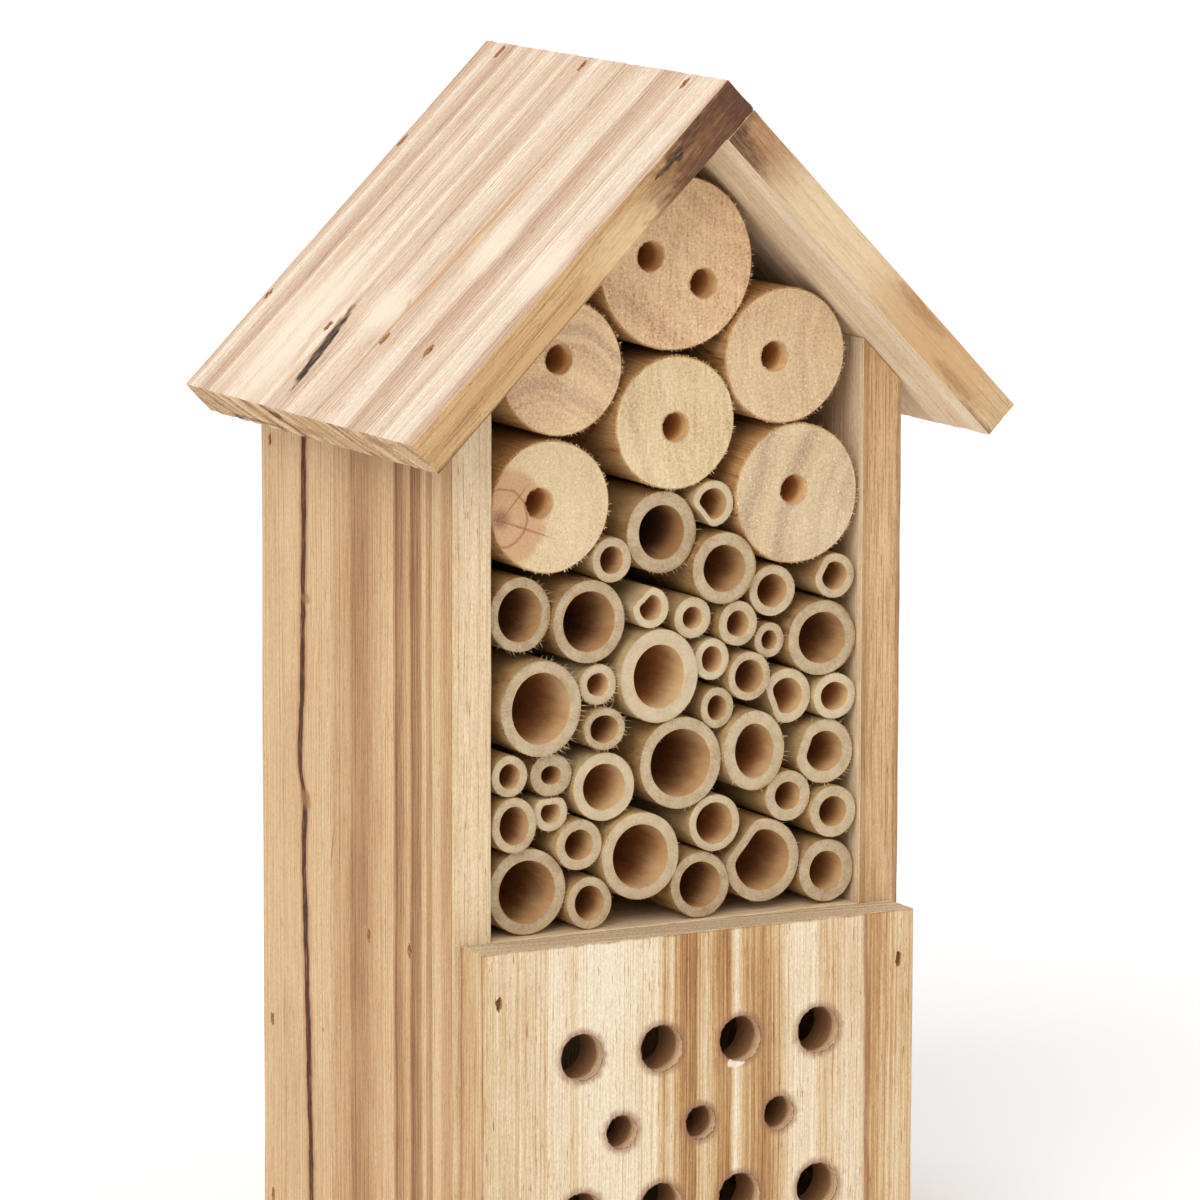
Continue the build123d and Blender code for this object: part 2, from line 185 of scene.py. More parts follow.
def tones(tree, value, stops):
    """A ramp of greys or colours from given stops, each a place and a tone."""
    ramp = add_node(tree, "ShaderNodeValToRGB", {0: value})
    ramp.color_ramp.interpolation = "LINEAR"
    stops = sorted(stops, key=lambda stop: stop[0])
    points = ramp.color_ramp.elements
    points[0].position, points[-1].position = stops[0][0], stops[-1][0]
    for place, tone in stops[1:-1]:
        points.new(place)
    for point, (place, tone) in zip(points, stops):
        point.color = tone if isinstance(tone, tuple) else (tone, tone, tone, 1)
    return ramp.outputs[0]


def patch(tree, place, centre, reach, turn=0.0, ragged=0.25, soft=0.5, upright=False):
    """1 inside an oval mark on the board and 0 outside, with a ragged edge."""
    turned = (0, math.radians(turn), 0) if upright else (0, 0, math.radians(turn))
    local = add_node(tree, "ShaderNodeMapping", {"Vector": place, "Location": centre, "Rotation": turned,
                                                 "Scale": reach}, vector_type="TEXTURE").outputs[0]
    distance = add_node(tree, "ShaderNodeVectorMath", {0: local}, operation="LENGTH").outputs["Value"]
    wobble = sums(tree, "MULTIPLY_ADD", clouds(tree, stretched(tree, place, 3, 1.2, 1.2), 3), ragged * 2,
                  -ragged)
    return reach_over(tree, sums(tree, "ADD", distance, wobble), 1.0 + soft / 2, 1.0 - soft / 2)


print("node helpers are ready")

# %% [markdown]
# ## Sawn softwood
# A sawn board shows the tree's growth bands as stripes along the grain, pale where the tree grew
# fast in spring and brown where it grew slowly. Over them lie fine fibres, and here and there a
# knot or a resin streak. One recipe makes them all: a list of bands across the board, bent a
# little, then finer lines and fibres, each drawn out along the grain. Every board carries an
# attribute called grain, the place of a point along, across and into that board in millimetres,
# so the pattern turns with the board and runs through its whole thickness.

# %% Wood recipe
def kept_value(tree, name, output="Fac"):
    """A number or a place that the mesh keeps at each point, by its name."""
    return add_node(tree, "ShaderNodeAttribute", attribute_name=name).outputs[output]


def board_place(tree):
    """The grain attribute, and its three parts: along, across and into the board."""
    place = kept_value(tree, "grain", "Vector")
    parts = add_node(tree, "ShaderNodeSeparateXYZ", {0: place}).outputs
    return place, parts[0], parts[1], parts[2]


def finish_surface(tree, colour, height, relief, rough, sheen_spread=0.15):
    """Colour, roughness and relief, brought together on the surface shader."""
    shader = tree.nodes["Principled BSDF"]
    bump = add_node(tree, "ShaderNodeBump", {"Height": height, "Strength": 1.0, "Distance": relief * MM})
    tree.links.new(colour, shader.inputs["Base Color"])
    tree.links.new(bump.outputs[0], shader.inputs["Normal"])
    patchy = reach_over(tree, height, 0.2, 0.8, rough + sheen_spread / 2, rough - sheen_spread / 2)
    tree.links.new(patchy, shader.inputs["Roughness"])
    shader.inputs["Specular IOR Level"].default_value = 0.3


def sawn_wood(name, colours, bands, width, lean=0.35, wander=2.0, drift=0.0, lines=0.35, threads=0.3,
              relief=0.25, rough=0.68, marks=None, seed=0.0, hairs=0.9):
    """Softwood whose bands are listed as (millimetres across, tone), tone 0 palest and 1 brownest."""
    material, tree = new_finish(name)
    place, along, across, into = board_place(tree)
    moved = add_node(tree, "ShaderNodeVectorMath", {0: place, 1: (seed * 37, seed * 11, seed * 5)},
                     operation="ADD").outputs[0]
    bend = sums(tree, "MULTIPLY_ADD", clouds(tree, stretched(tree, moved, 70, 22, 22), 1), wander * 2,
                -wander)
    row = sums(tree, "MULTIPLY_ADD", into, lean, sums(tree, "ADD", across, bend))
    row = sums(tree, "MULTIPLY_ADD", along, drift, row)
    tone = tones(tree, sums(tree, "DIVIDE", row, width), [(spot / width, grey) for spot, grey in bands])
    fine = add_node(tree, "ShaderNodeTexNoise", {"W": sums(tree, "ADD", row, seed * 53), "Scale": 1.1,
                                                 "Detail": 3.0,
                                                 "Roughness": 0.65}, noise_dimensions="1D").outputs[0]
    thread = clouds(tree, stretched(tree, moved, 16, 0.5, 0.5), 3, 0.6)
    broad = clouds(tree, stretched(tree, moved, 45, 12, 12), 2)
    tone = swung(tree, tone, fine, lines * 2)
    tone = swung(tree, tone, thread, threads * 2)
    tone = swung(tree, tone, broad, 0.5)
    colour = tones(tree, tone, colours)
    hair = add_node(tree, "ShaderNodeTexNoise", {"W": sums(tree, "ADD", row, seed * 29 + 7), "Scale": 2.6,
                                                 "Detail": 2.0,
                                                 "Roughness": 0.7}, noise_dimensions="1D").outputs[0]
    hair = sums(tree, "MULTIPLY", reach_over(tree, hair, 0.54, 0.68, 0.0, hairs),
                reach_over(tree, thread, 0.35, 0.6))
    colour = mixed(tree, hair, colour, darkened(tree, colour, linear(206, 174, 140)))
    fleck = reach_over(tree, clouds(tree, stretched(tree, moved, 5.0, 0.32, 0.32), 2, 0.6), 0.62, 0.72)
    colour = mixed(tree, fleck, colour, darkened(tree, colour, linear(200, 170, 140)))
    speck = clouds(tree, stretched(tree, moved, 0.9, 0.4, 0.4), 2, 0.8)
    colour = mixed(tree, 1.0, colour, tones(tree, speck, [(0.3, 0.8), (0.7, 1.06)]), "MULTIPLY")
    height = sums(tree, "MULTIPLY_ADD", thread, 0.5, sums(tree, "MULTIPLY", fine, 0.5))
    height = sums(tree, "MULTIPLY_ADD", speck, 0.25, height)
    if marks:
        colour, height = marks(tree, place, colour, height)
    finish_surface(tree, colour, height, relief, rough)
    return material


def stain(tree, colour, mask, tint, strength=1.0):
    """A mark of one colour laid over the wood where the mask says, mottled along the grain."""
    mottle = clouds(tree, stretched(tree, board_place(tree)[0], 3.5, 0.5, 0.5), 3, 0.7)
    share = reach_over(tree, mottle, 0.3, 0.7, strength * 0.65, strength * 1.15)
    return mixed(tree, sums(tree, "MULTIPLY", mask, share), colour, tint)


print("wood recipe is ready")

# %% [markdown]
# ## Roof boards: finish
# The upper faces were brushed and lightly burnt, which leaves cream ridges between mauve-brown
# bands. The left board has a dark bark-filled knot near its eave and a thin orange streak. The
# front edges are honey coloured and scorched brown towards the ridge. Each face gets its own list
# of bands, so the broad stripes sit where they do on the real board, and the knots are oval
# patches laid over them.

# %% Roof finishes
cream, pale_tan, mauve = linear(240, 222, 202), linear(222, 196, 170), linear(190, 152, 128)
honey, tan, brown = linear(222, 190, 146), linear(196, 156, 108), linear(150, 104, 66)
burnt, near_black = linear(84, 50, 34), linear(34, 24, 24)


def roof_marks(tree, place, colour, height):
    """Orange streak, bark-filled knot and the pale swirls around the knots of the left board."""
    for centre, reach in (((57, 37, 0), (9, 6, 20)), ((80, 60, 0), (7, 9, 20)), ((60, 8, 0), (8, 6, 20)),
                          ((92, 90, 0), (22, 13, 20))):
        colour = stain(tree, colour, patch(tree, place, centre, reach, soft=1.2), cream, 0.75)
    streak = patch(tree, place, (58, 48.5, 0), (30, 1.0, 20), turn=5, ragged=0.5, soft=0.9)
    colour = stain(tree, colour, streak, linear(196, 146, 96), 0.8)
    colour = stain(tree, colour, patch(tree, place, (57, 46, 0), (4.5, 2.0, 20), soft=1.4), honey, 0.6)
    colour = stain(tree, colour, patch(tree, place, (78, 52, 0), (2.2, 0.6, 20), turn=-40, soft=1), tan, 0.8)
    swirl = sums(tree, "SUBTRACT", patch(tree, place, (92, 76, 0), (13, 6.4, 20), turn=-9, ragged=0.3),
                 patch(tree, place, (92, 75.4, 0), (12, 5.6, 20), turn=-9, ragged=0.3))
    colour = stain(tree, colour, swirl, tan, 0.7)
    rim = patch(tree, place, (94, 73.4, 0), (13, 2.1, 20), turn=-9, ragged=0.7)
    knot = patch(tree, place, (95, 73.0, 0), (11.5, 1.5, 20), turn=-9, ragged=0.9)
    colour = stain(tree, colour, rim, brown, 0.75)
    colour = stain(tree, colour, knot, near_black, 0.95)
    colour = stain(tree, colour, patch(tree, place, (82.5, 75.2, 0), (1.4, 1.4, 20), soft=1), brown, 0.8)
    height = sums(tree, "MULTIPLY_ADD", knot, -1.2, height)
    return colour, height


roof_bands = [(0, 0.8), (2, 0.35), (5, 0.08), (12, 0.1), (14, 0.5), (17, 0.3), (18.5, 0.0), (20, 0.4),
              (26, 0.75),
              (30, 0.8), (32, 0.2), (38, 0.1), (44, 0.55), (49, 0.55), (55, 0.3), (62, 0.0), (64.5, 0.6),
              (73, 0.5),
              (75.2, 0.0), (78, 0.6), (86.5, 0.0), (88, 0.55), (93, 0.1), (96, 0.6), (101, 0.35),
              (102.5, 0.0),
              (104, 0.85), (109, 0.55), (113, 0.0), (115, 0.6), (120, 0.85)]
roof_left_top = sawn_wood("roof_left_top", [(0.0, cream), (0.45, pale_tan), (1.0, mauve)], roof_bands, 120.0,
                          drift=-0.03, wander=1.0, lines=0.6, threads=0.34, relief=0.35, marks=roof_marks)
even_bands = [(0, 0.4), (9, 0.15), (14, 0.5), (22, 0.25), (31, 0.6), (38, 0.2), (47, 0.45), (58, 0.15),
              (66, 0.5),
              (77, 0.25), (86, 0.55), (97, 0.2), (108, 0.5), (120, 0.3)]
roof_right_top = sawn_wood("roof_right_top", [(0.0, cream), (0.45, pale_tan), (1.0, mauve)], even_bands,
                           120.0,
                           lines=0.6, threads=0.34, relief=0.35, seed=3)
# painted light: the undersides are painted paler than the tops, standing in for the light they get from below
roof_under_painted_light = sawn_wood("roof_under_painted_light", [(0.0, linear(248, 236, 214)), (0.5, linear(236, 212, 178)),
                                      (1.0, honey)],
                       even_bands, 120.0, lines=0.4, threads=0.35, seed=5)


def left_edge_marks(tree, place, colour, height):
    """Scorch from the ridge down the left board's front edge, with a blue-black spot."""
    for centre, reach, tint, strength in (
            ((44, 5, 6.5), (14, 30, 4), linear(222, 192, 148), 0.6),
            ((3, 0, 6), (27, 30, 10), linear(116, 74, 46), 0.95),
            ((10, 0, 8.6), (20, 30, 3.0), linear(92, 58, 38), 0.9),
            ((10, 0, 2.2), (13, 30, 2.0), burnt, 0.85),
            ((2, 0, 5), (5, 30, 9), burnt, 0.8),
            ((70, 0, 8), (16, 30, 1.4), tan, 0.7),
            ((92, 0, 3), (14, 30, 1.2), tan, 0.7),
            ((108, 0, 10), (16, 30, 0.9), burnt, 0.7)):
        colour = stain(tree, colour, patch(tree, place, centre, reach, ragged=0.6, soft=0.9), tint, strength)
    colour = stain(tree, colour, patch(tree, place, (24.5, 0, 2.6), (4.6, 30, 0.8), ragged=0.8), near_black,
                   0.85)
    colour = stain(tree, colour, patch(tree, place, (21, 0, 3.6), (1.6, 30, 0.7), ragged=0.8), near_black,
                   0.8)
    return colour, height


def right_edge_marks(tree, place, colour, height):
    """Scorch at the ridge end of the right board's front edge, and a mottled stretch lower down."""
    for centre, reach, tint, strength in (
            ((2, 0, 5), (16, 30, 9), brown, 0.85),
            ((3, 0, 8.5), (9, 30, 3), burnt, 0.8),
            ((0, 0, 5), (2, 30, 9), near_black, 0.5),
            ((38, 0, 5), (20, 30, 9), linear(226, 202, 168), 0.6),
            ((76, 0, 5), (20, 30, 8), tan, 0.8),
            ((66, 0, 2), (9, 30, 1.6), brown, 0.6),
            ((86, 0, 7.5), (8, 30, 1.4), brown, 0.6),
            ((98, 0, 10), (9, 30, 1), burnt, 0.6)):
        colour = stain(tree, colour, patch(tree, place, centre, reach, ragged=0.7, soft=1.1), tint, strength)
    return colour, height


edge_bands = [(0, 0.3), (3, 0.15), (5, 0.35), (8, 0.2), (11, 0.4)]
left_edge_colours = [(0.0, linear(204, 168, 120)), (0.5, linear(172, 132, 86)), (1.0, linear(124, 84, 50))]
right_edge_colours = [(0.0, linear(212, 186, 148)), (0.5, linear(190, 158, 118)), (1.0, linear(146, 108, 72))]
roof_left_edge = sawn_wood("roof_left_edge", left_edge_colours, edge_bands, 11.0, lean=1.0, wander=1.6,
                           lines=0.5,
                           threads=0.55, marks=left_edge_marks, seed=7)
roof_right_edge = sawn_wood("roof_right_edge", right_edge_colours, edge_bands, 11.0, lean=1.0, wander=1.6,
                            lines=0.5,
                            threads=0.5, marks=right_edge_marks, seed=8)
print("roof finishes:", [m.name for m in (roof_left_top, roof_right_top, roof_under_painted_light, roof_left_edge,
                                          roof_right_edge)])

# %% [markdown]
# ## End grain
# Where a saw has cut across the fibres the surface is rough and greyer, with the growth bands
# crossing it as slanting lines. The recipe is the same place attribute, read only across and into
# the board, with coarser speckle in place of the long fibres.

# %% End grain finish
def end_grain(name, light, dark, slant, pitch, contrast, relief=0.45, marks=None):
    """Sawn end grain: slanting growth lines and a coarse, torn speckle."""
    material, tree = new_finish(name)
    place, along, across, into = board_place(tree)
    bend = clouds(tree, stretched(tree, place, 30, 12, 12), 2)
    row = sums(tree, "MULTIPLY_ADD", into, slant, sums(tree, "MULTIPLY_ADD", bend, 6.0, across))
    ring = add_node(tree, "ShaderNodeTexNoise", {"W": sums(tree, "DIVIDE", row, pitch), "Scale": 1.0,
                                                 "Detail": 3.0,
                                                 "Roughness": 0.6}, noise_dimensions="1D").outputs[0]
    speck = clouds(tree, stretched(tree, place, 0.6, 0.6, 0.6), 3, 0.75)
    tone = swung(tree, 0.5, ring, contrast)
    tone = swung(tree, tone, speck, 1.3)
    colour = tones(tree, tone, [(0.25, light), (0.8, dark)])
    height = sums(tree, "MULTIPLY_ADD", speck, 0.8, sums(tree, "MULTIPLY", ring, 0.3))
    if marks:
        colour, height = marks(tree, place, colour, height)
    finish_surface(tree, colour, height, relief, 0.8)
    return material


def eave_marks(tree, place, colour, height):
    """The end of the bark-filled knot, and the crack that runs from it."""
    colour = stain(tree, colour, patch(tree, place, (114, 74.5, 3), (9, 3.4, 1.3), ragged=0.4), near_black,
                   0.8)
    colour = stain(tree, colour, patch(tree, place, (114, 90, 8.3), (9, 14, 0.5), ragged=0.6), burnt, 0.7)
    colour = stain(tree, colour, patch(tree, place, (114, 103, 9), (9, 2.5, 1.2), ragged=0.4),
                   linear(84, 58, 60), 0.8)
    for across, into, wide, tint in ((20, 3, 9, brown), (38, 7, 12, tan), (62, 6.5, 8, brown),
                                     (84, 4, 7, tan)):
        colour = stain(tree, colour, patch(tree, place, (114, across, into), (9, wide, 1.3), ragged=0.8,
                                           soft=1),
                       tint, 0.6)
    colour = stain(tree, colour, patch(tree, place, (114, 56, 4), (9, 9, 3), ragged=0.5, soft=1), tan, 0.5)
    return colour, height


eave_end = end_grain("eave_end", linear(226, 196, 156), linear(150, 104, 66), slant=1.2, pitch=6.0,
                     contrast=1.6, marks=eave_marks)
board_end = end_grain("board_end", linear(228, 206, 174), linear(168, 138, 106), slant=8.0, pitch=12.0,
                      contrast=0.9)
print("end grain finishes:", eave_end.name, board_end.name)

# %% [markdown]
# ## Boards
# Each board is a box with worn edges. It is modelled lying flat, in millimetres along, across and
# into the board, cut into a grid by a series of planes, and given a low relief that runs along
# the grain, as a brushed board has. Only then is it turned into its place by one matrix, which
# the grain attribute is read back through. A slanting end is one more cut before the grid.

# %% Board helpers
def board_matrix(corner, along, across, into):
    """From millimetres along, across and into a board to its place in the model."""
    matrix = Matrix.Translation(corner)
    for column, direction in enumerate((along, across, into)):
        for row in range(3):
            matrix[row][column] = direction[row] * MM
    return matrix


def sliced_through(bm, point, normal, clear_outer=False):
    """Slice a whole mesh at a plane, and say what lies on the cut."""
    everything = bm.verts[:] + bm.edges[:] + bm.faces[:]
    return bmesh.ops.bisect_plane(bm, geom=everything, plane_co=point, plane_no=normal,
                                  clear_outer=clear_outer)["geom_cut"]


def plank(size, steps, slopes=(), wear=0.5):
    """A worn box of the given size, cut into a grid, with any slanting ends sawn first."""
    bm = bmesh.new()
    bmesh.ops.create_cube(bm, size=1)
    bmesh.ops.scale(bm, vec=size, verts=bm.verts)
    bmesh.ops.translate(bm, vec=Vector(size) / 2, verts=bm.verts)
    for point, normal in slopes:
        sawn = sliced_through(bm, point, normal, clear_outer=True)
        edges = [part for part in sawn if isinstance(part, bmesh.types.BMEdge)]
        bmesh.ops.contextual_create(bm, geom=edges)
    bmesh.ops.bevel(bm, geom=bm.edges[:], offset=wear, offset_type="OFFSET", segments=2, profile=0.5,
                    affect="EDGES", material=-1, clamp_overlap=True)
    for axis, step in enumerate(steps):
        normal = Vector([1.0 if i == axis else 0.0 for i in range(3)])
        count = max(1, round(size[axis] / step))
        for cut in range(1, count):
            sliced_through(bm, normal * (size[axis] * cut / count), normal)
    return bm


def raise_grain(bm, ridges, threads, seed):
    """Move the surface in and out in long ridges and fine threads, all inwards from the true size."""
    bm.normal_update()
    for vert in bm.verts:
        along, across, into = vert.co
        ridge = noise.noise(Vector((along / 90, across / 3.5 + seed, into / 3.5))) - 0.4
        thread = noise.noise(Vector((along / 14, across / 1.1, into / 1.1 + seed))) - 0.4
        vert.co += vert.normal * (ridges * ridge + threads * thread)


def slot_faces(bm, size):
    """Number the faces: 0 outer face, 1 front edge, 2 the far end, 3 inner and hidden faces."""
    bm.normal_update()
    for face in bm.faces:
        normal, middle = face.normal, face.calc_center_median()
        if normal.z < -0.6:
            face.material_index = 0
        elif normal.y < -0.6:
            face.material_index = 1
        elif abs(normal.x) > 0.6:
            face.material_index = 2
        elif normal.z > 0.6 or normal.y > 0.6:
            face.material_index = 3
        else:
            face.material_index = 0 if middle.z < size[2] / 2 else 3


def new_piece(name, bm, materials, matrix=None):
    """A mesh object from a bmesh, its place in its mesh, with its materials in slots."""
    if matrix:
        bmesh.ops.transform(bm, matrix=matrix, verts=bm.verts)
    bmesh.ops.recalc_face_normals(bm, faces=bm.faces)
    mesh = bpy.data.meshes.new(name)
    bm.to_mesh(mesh)
    bm.free()
    for material in materials:
        mesh.materials.append(material)
    piece = bpy.data.objects.new(name, mesh)
    bpy.context.collection.objects.link(piece)
    return piece


def cut_away(piece, cutter):
    """Cut one shape out of a piece for good, and drop the cutter."""
    modifier = piece.modifiers.new("cut", "BOOLEAN")
    modifier.operation, modifier.solver = "DIFFERENCE", "EXACT"
    modifier.material_mode = "TRANSFER"
    modifier.object = cutter
    depsgraph = bpy.context.evaluated_depsgraph_get()
    result = bpy.data.meshes.new_from_object(piece.evaluated_get(depsgraph))
    piece.modifiers.clear()
    piece.data = result
    bpy.data.objects.remove(cutter)


def keep_place(piece, name, place_of):
    """Keep a place at each point of a piece, worked out from where the point is."""
    kept = piece.data.attributes.new(name, "FLOAT_VECTOR", "POINT")
    for vertex, entry in zip(piece.data.vertices, kept.data):
        entry.vector = place_of(vertex.co)


def keep_number(piece, name, number_of):
    """Keep a number at each point of a piece, worked out from where the point is."""
    kept = piece.data.attributes.new(name, "FLOAT", "POINT")
    for vertex, entry in zip(piece.data.vertices, kept.data):
        entry.value = number_of(vertex.co)


def read_grain(piece, matrix):
    """Keep each point's place along, across and into its board, in millimetres."""
    inverse = matrix.inverted()
    keep_place(piece, "grain", lambda co: inverse @ co)


def keep_rims(piece, holes):
    """Keep each point's distance from the nearest rim of a list of holes, in millimetres."""
    keep_number(piece, "rim", lambda co: min(math.hypot(co.x - middle.x, co.z - middle.z) - radius
                                             for middle, radius in holes) / MM)


def settle_piece(piece, node, sharp=35):
    """Smooth shading with crisp corners, the body it rides on, and the CAD node it stands for hidden."""
    mesh = piece.data
    mesh.polygons.foreach_set("use_smooth", [True] * len(mesh.polygons))
    mesh.set_sharp_from_angle(angle=math.radians(sharp))
    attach(piece, "root")
    if node:
        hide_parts(node)
    print(piece.name, "has", len(mesh.polygons), "faces")


print("board helpers are ready")

# %% [markdown]
# ## Brads
# The boards are fixed with narrow T-headed brads, shot below the surface, and each leaves a small
# oblong pit with a torn rim. The brads themselves are in the measured model, so the pits are cut
# where its brad heads are: a brad's tip is the point furthest from its middle, and its head's top
# is the four corners furthest from that tip.

# %% Find the brad heads
def brad_heads(node):
    """For each brad: the middle of its head's top, the way out of the wood, and the way along the head."""
    bm = bmesh.new()
    bm.from_mesh(frame["nodes"][node].data)
    bmesh.ops.remove_doubles(bm, verts=bm.verts, dist=0.001 * MM)
    bm.verts.index_update()
    waiting, heads = {v.index: v for v in bm.verts}, []
    while waiting:
        first = waiting.pop(min(waiting))
        island = [first]
        for vert in island:
            for edge in vert.link_edges:
                other = edge.other_vert(vert)
                if waiting.pop(other.index, None):
                    island.append(other)
        middle = sum((v.co for v in island), Vector()) / len(island)
        tip = max(island, key=lambda v: (v.co - middle).length).co
        tip = sum((v.co for v in island if (v.co - tip).length < 2 * MM), Vector()) / 4
        corners = sorted((v.co.copy() for v in island), key=lambda co: (co - tip).length)[-4:]
        head = sum(corners, Vector()) / 4
        out = (head - tip).normalized()
        length = max((a - b for a in corners for b in corners), key=lambda side: side.length)
        across = min((a - b for a in corners for b in corners if a != b), key=lambda side: side.length)
        grain = (length - across.normalized() * length.dot(across.normalized())).normalized()
        heads.append((head, out, grain))
    bm.free()
    return heads


roof_heads = brad_heads("roof_brads")
body_heads = brad_heads("body_brads")
panel_heads = brad_heads("panel_brads")
print("brads found:", len(roof_heads), len(body_heads), len(panel_heads))

# %% Pits over the brads
def surface_material(name, colours, scale, relief, rough):
    """A small even finish: speckled between colours, on the object's own coordinates."""
    material, tree = new_finish(name)
    place = add_node(tree, "ShaderNodeTexCoord").outputs["Object"]
    place = add_node(tree, "ShaderNodeMapping", {"Vector": place,
                                                 "Scale": (1 / (scale * MM),) * 3}).outputs[0]
    speck = clouds(tree, place, 4, 0.65)
    colour = tones(tree, speck, [(0.3, colours[0]), (0.7, colours[1])])
    finish_surface(tree, colour, speck, relief, rough)
    return material


pit_wood = surface_material("pit_wood", (linear(150, 98, 58), linear(214, 164, 112)),
                            scale=0.6, relief=0.2, rough=0.85)


def pit_cutter(heads, half_long, half_wide, torn, first=0):
    """Oblong pits with ragged rims, one over each brad head, as one cutter."""
    floor, top = -0.25, 1.4          # from the top of the head, out of the wood
    bm = bmesh.new()
    for count, (head, out, grain) in enumerate(heads, first):
        made = bmesh.ops.create_cone(bm, cap_ends=True, segments=18, radius1=0.85, radius2=1.05,
                                     depth=top - floor)["verts"]
        side = out.cross(grain)
        for vert in made:
            angle = math.atan2(vert.co.y, vert.co.x)
            rag = 1 + 1.6 * torn * noise.noise(Vector((2.4 * math.cos(angle), 2.4 * math.sin(angle),
                                                       count * 3.7)))
            along, across = vert.co.x * half_long * rag, vert.co.y * half_wide * rag
            up = vert.co.z + (top + floor) / 2
            vert.co = head + (grain * along + side * across + out * up) * MM
    return new_piece("pits", bm, [pit_wood])


def uncut(piece, heads):
    """The brads whose pit has no floor in the piece's mesh."""
    def on_floor(co, head, out):
        height = (co - head).dot(out)
        return -0.4 * MM < height < 0 and (co - head - out * height).length < 3 * MM

    return [place for place in heads if not any(on_floor(v.co, *place[:2]) for v in piece.data.vertices)]


def cut_pits(piece, heads, half_long, half_wide, torn):
    """Cut a board's pits. A cut can leave one out, so those are cut again with another torn rim."""
    for attempt in range(4):
        left_out = uncut(piece, heads)
        if left_out:
            cut_away(piece, pit_cutter(left_out, half_long, half_wide, torn, attempt * 7))
    print("pits in", piece.name, len(heads) - len(uncut(piece, heads)), "of", len(heads))


# %% [markdown]
# ## Roof
# Two boards meet at a right angle, and the left one covers the end grain of the right one. The
# ridge corner and the lengths are read back from the boxes of the two boards: a slanting board's
# box is as wide as its length and its thickness seen at that angle.

# %% Roof boards
roof_low, roof_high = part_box("roof_board_left")
right_roof_low, right_roof_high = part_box("roof_board_right")
roof_depth = (roof_high.y - roof_low.y) / MM
thick = roof_thickness / MM


def roof_length(low, high, pitch):
    """Slope length of a roof board from the width of its box."""
    return ((high.x - low.x) / MM - thick * math.sin(pitch)) / math.cos(pitch)


left_length = roof_length(roof_low, roof_high, left_pitch)
right_length = roof_length(right_roof_low, right_roof_high, right_pitch)
ridge = Vector((roof_high.x - roof_thickness * math.sin(left_pitch), roof_low.y, roof_high.z))
into_left = Vector((math.sin(left_pitch), 0, -math.cos(left_pitch)))
into_right = Vector((-math.sin(right_pitch), 0, -math.cos(right_pitch)))
down_left = Vector((-math.cos(left_pitch), 0, -math.sin(left_pitch)))
down_right = Vector((math.cos(right_pitch), 0, -math.sin(right_pitch)))
ridge_end = ridge + into_left * roof_thickness


def roof_board(name, node, corner, down, into, length, materials, seed):
    """One roof board, brushed, with its brad pits."""
    size = (length, roof_depth, thick)
    bm = plank(size, steps=(3.2, 0.95, 1.4), wear=0.45)
    raise_grain(bm, ridges=0.22, threads=0.14, seed=seed)
    slot_faces(bm, size)
    matrix = board_matrix(corner, down, backwards, into)
    piece = new_piece(name, bm, materials, matrix)
    heads = [head for head in roof_heads if head[1].dot(into) < -0.9]
    cut_pits(piece, heads, half_long=1.9, half_wide=1.0, torn=0.5)
    read_grain(piece, matrix)
    settle_piece(piece, node)


roof_board("roof_left", "roof_board_left", ridge, down_left, into_left, left_length,
           [roof_left_top, roof_left_edge, eave_end, roof_under_painted_light], 3.1)
roof_board("roof_right", "roof_board_right", ridge_end, down_right, into_right, right_length,
           [roof_right_top, roof_right_edge, eave_end, roof_under_painted_light], 8.4)
print("roof boards, mm:", round(left_length, 1), "and", round(right_length, 1), "down the slope")

# %% [markdown]
# ## Side boards: finish
# The left side board is the face that shows most. Towards the front it has four brown bands, its
# rear half is plain and pale, and a dark resin streak runs down it from top to bottom, with a
# small knot where it kinks. The streak is a band whose middle follows a curve down the board.

# %% Side finishes
side_bands = [(0, 0.5), (5, 0.5), (6.2, 0.1), (10, 0.12), (10.8, 0.75), (12.5, 0.6), (13.5, 0.1), (15, 0.2),
              (16, 0.75),
              (21, 0.95), (21.8, 0.3), (24, 0.45), (26, 0.7), (29.4, 0.9), (30.2, 0.1), (34, 0.2), (40, 0.4),
              (42, 0.55), (46, 0.65), (52, 0.75), (53.4, 0.35), (61, 0.4), (63.5, 0.1), (72, 0.08),
              (80, 0.12),
              (92, 0.2), (101, 0.15)]
streak_course = [(0.0, 77), (0.3, 78), (0.41, 79), (0.47, 80), (0.51, 77.5), (0.56, 78), (0.65, 77),
                 (0.8, 75.5),
                 (1.0, 74)]      # share of the way down, and millimetres from the front
side_height = (left_high.z - left_low.z) / MM
body_depth = (body_back - body_front) / MM


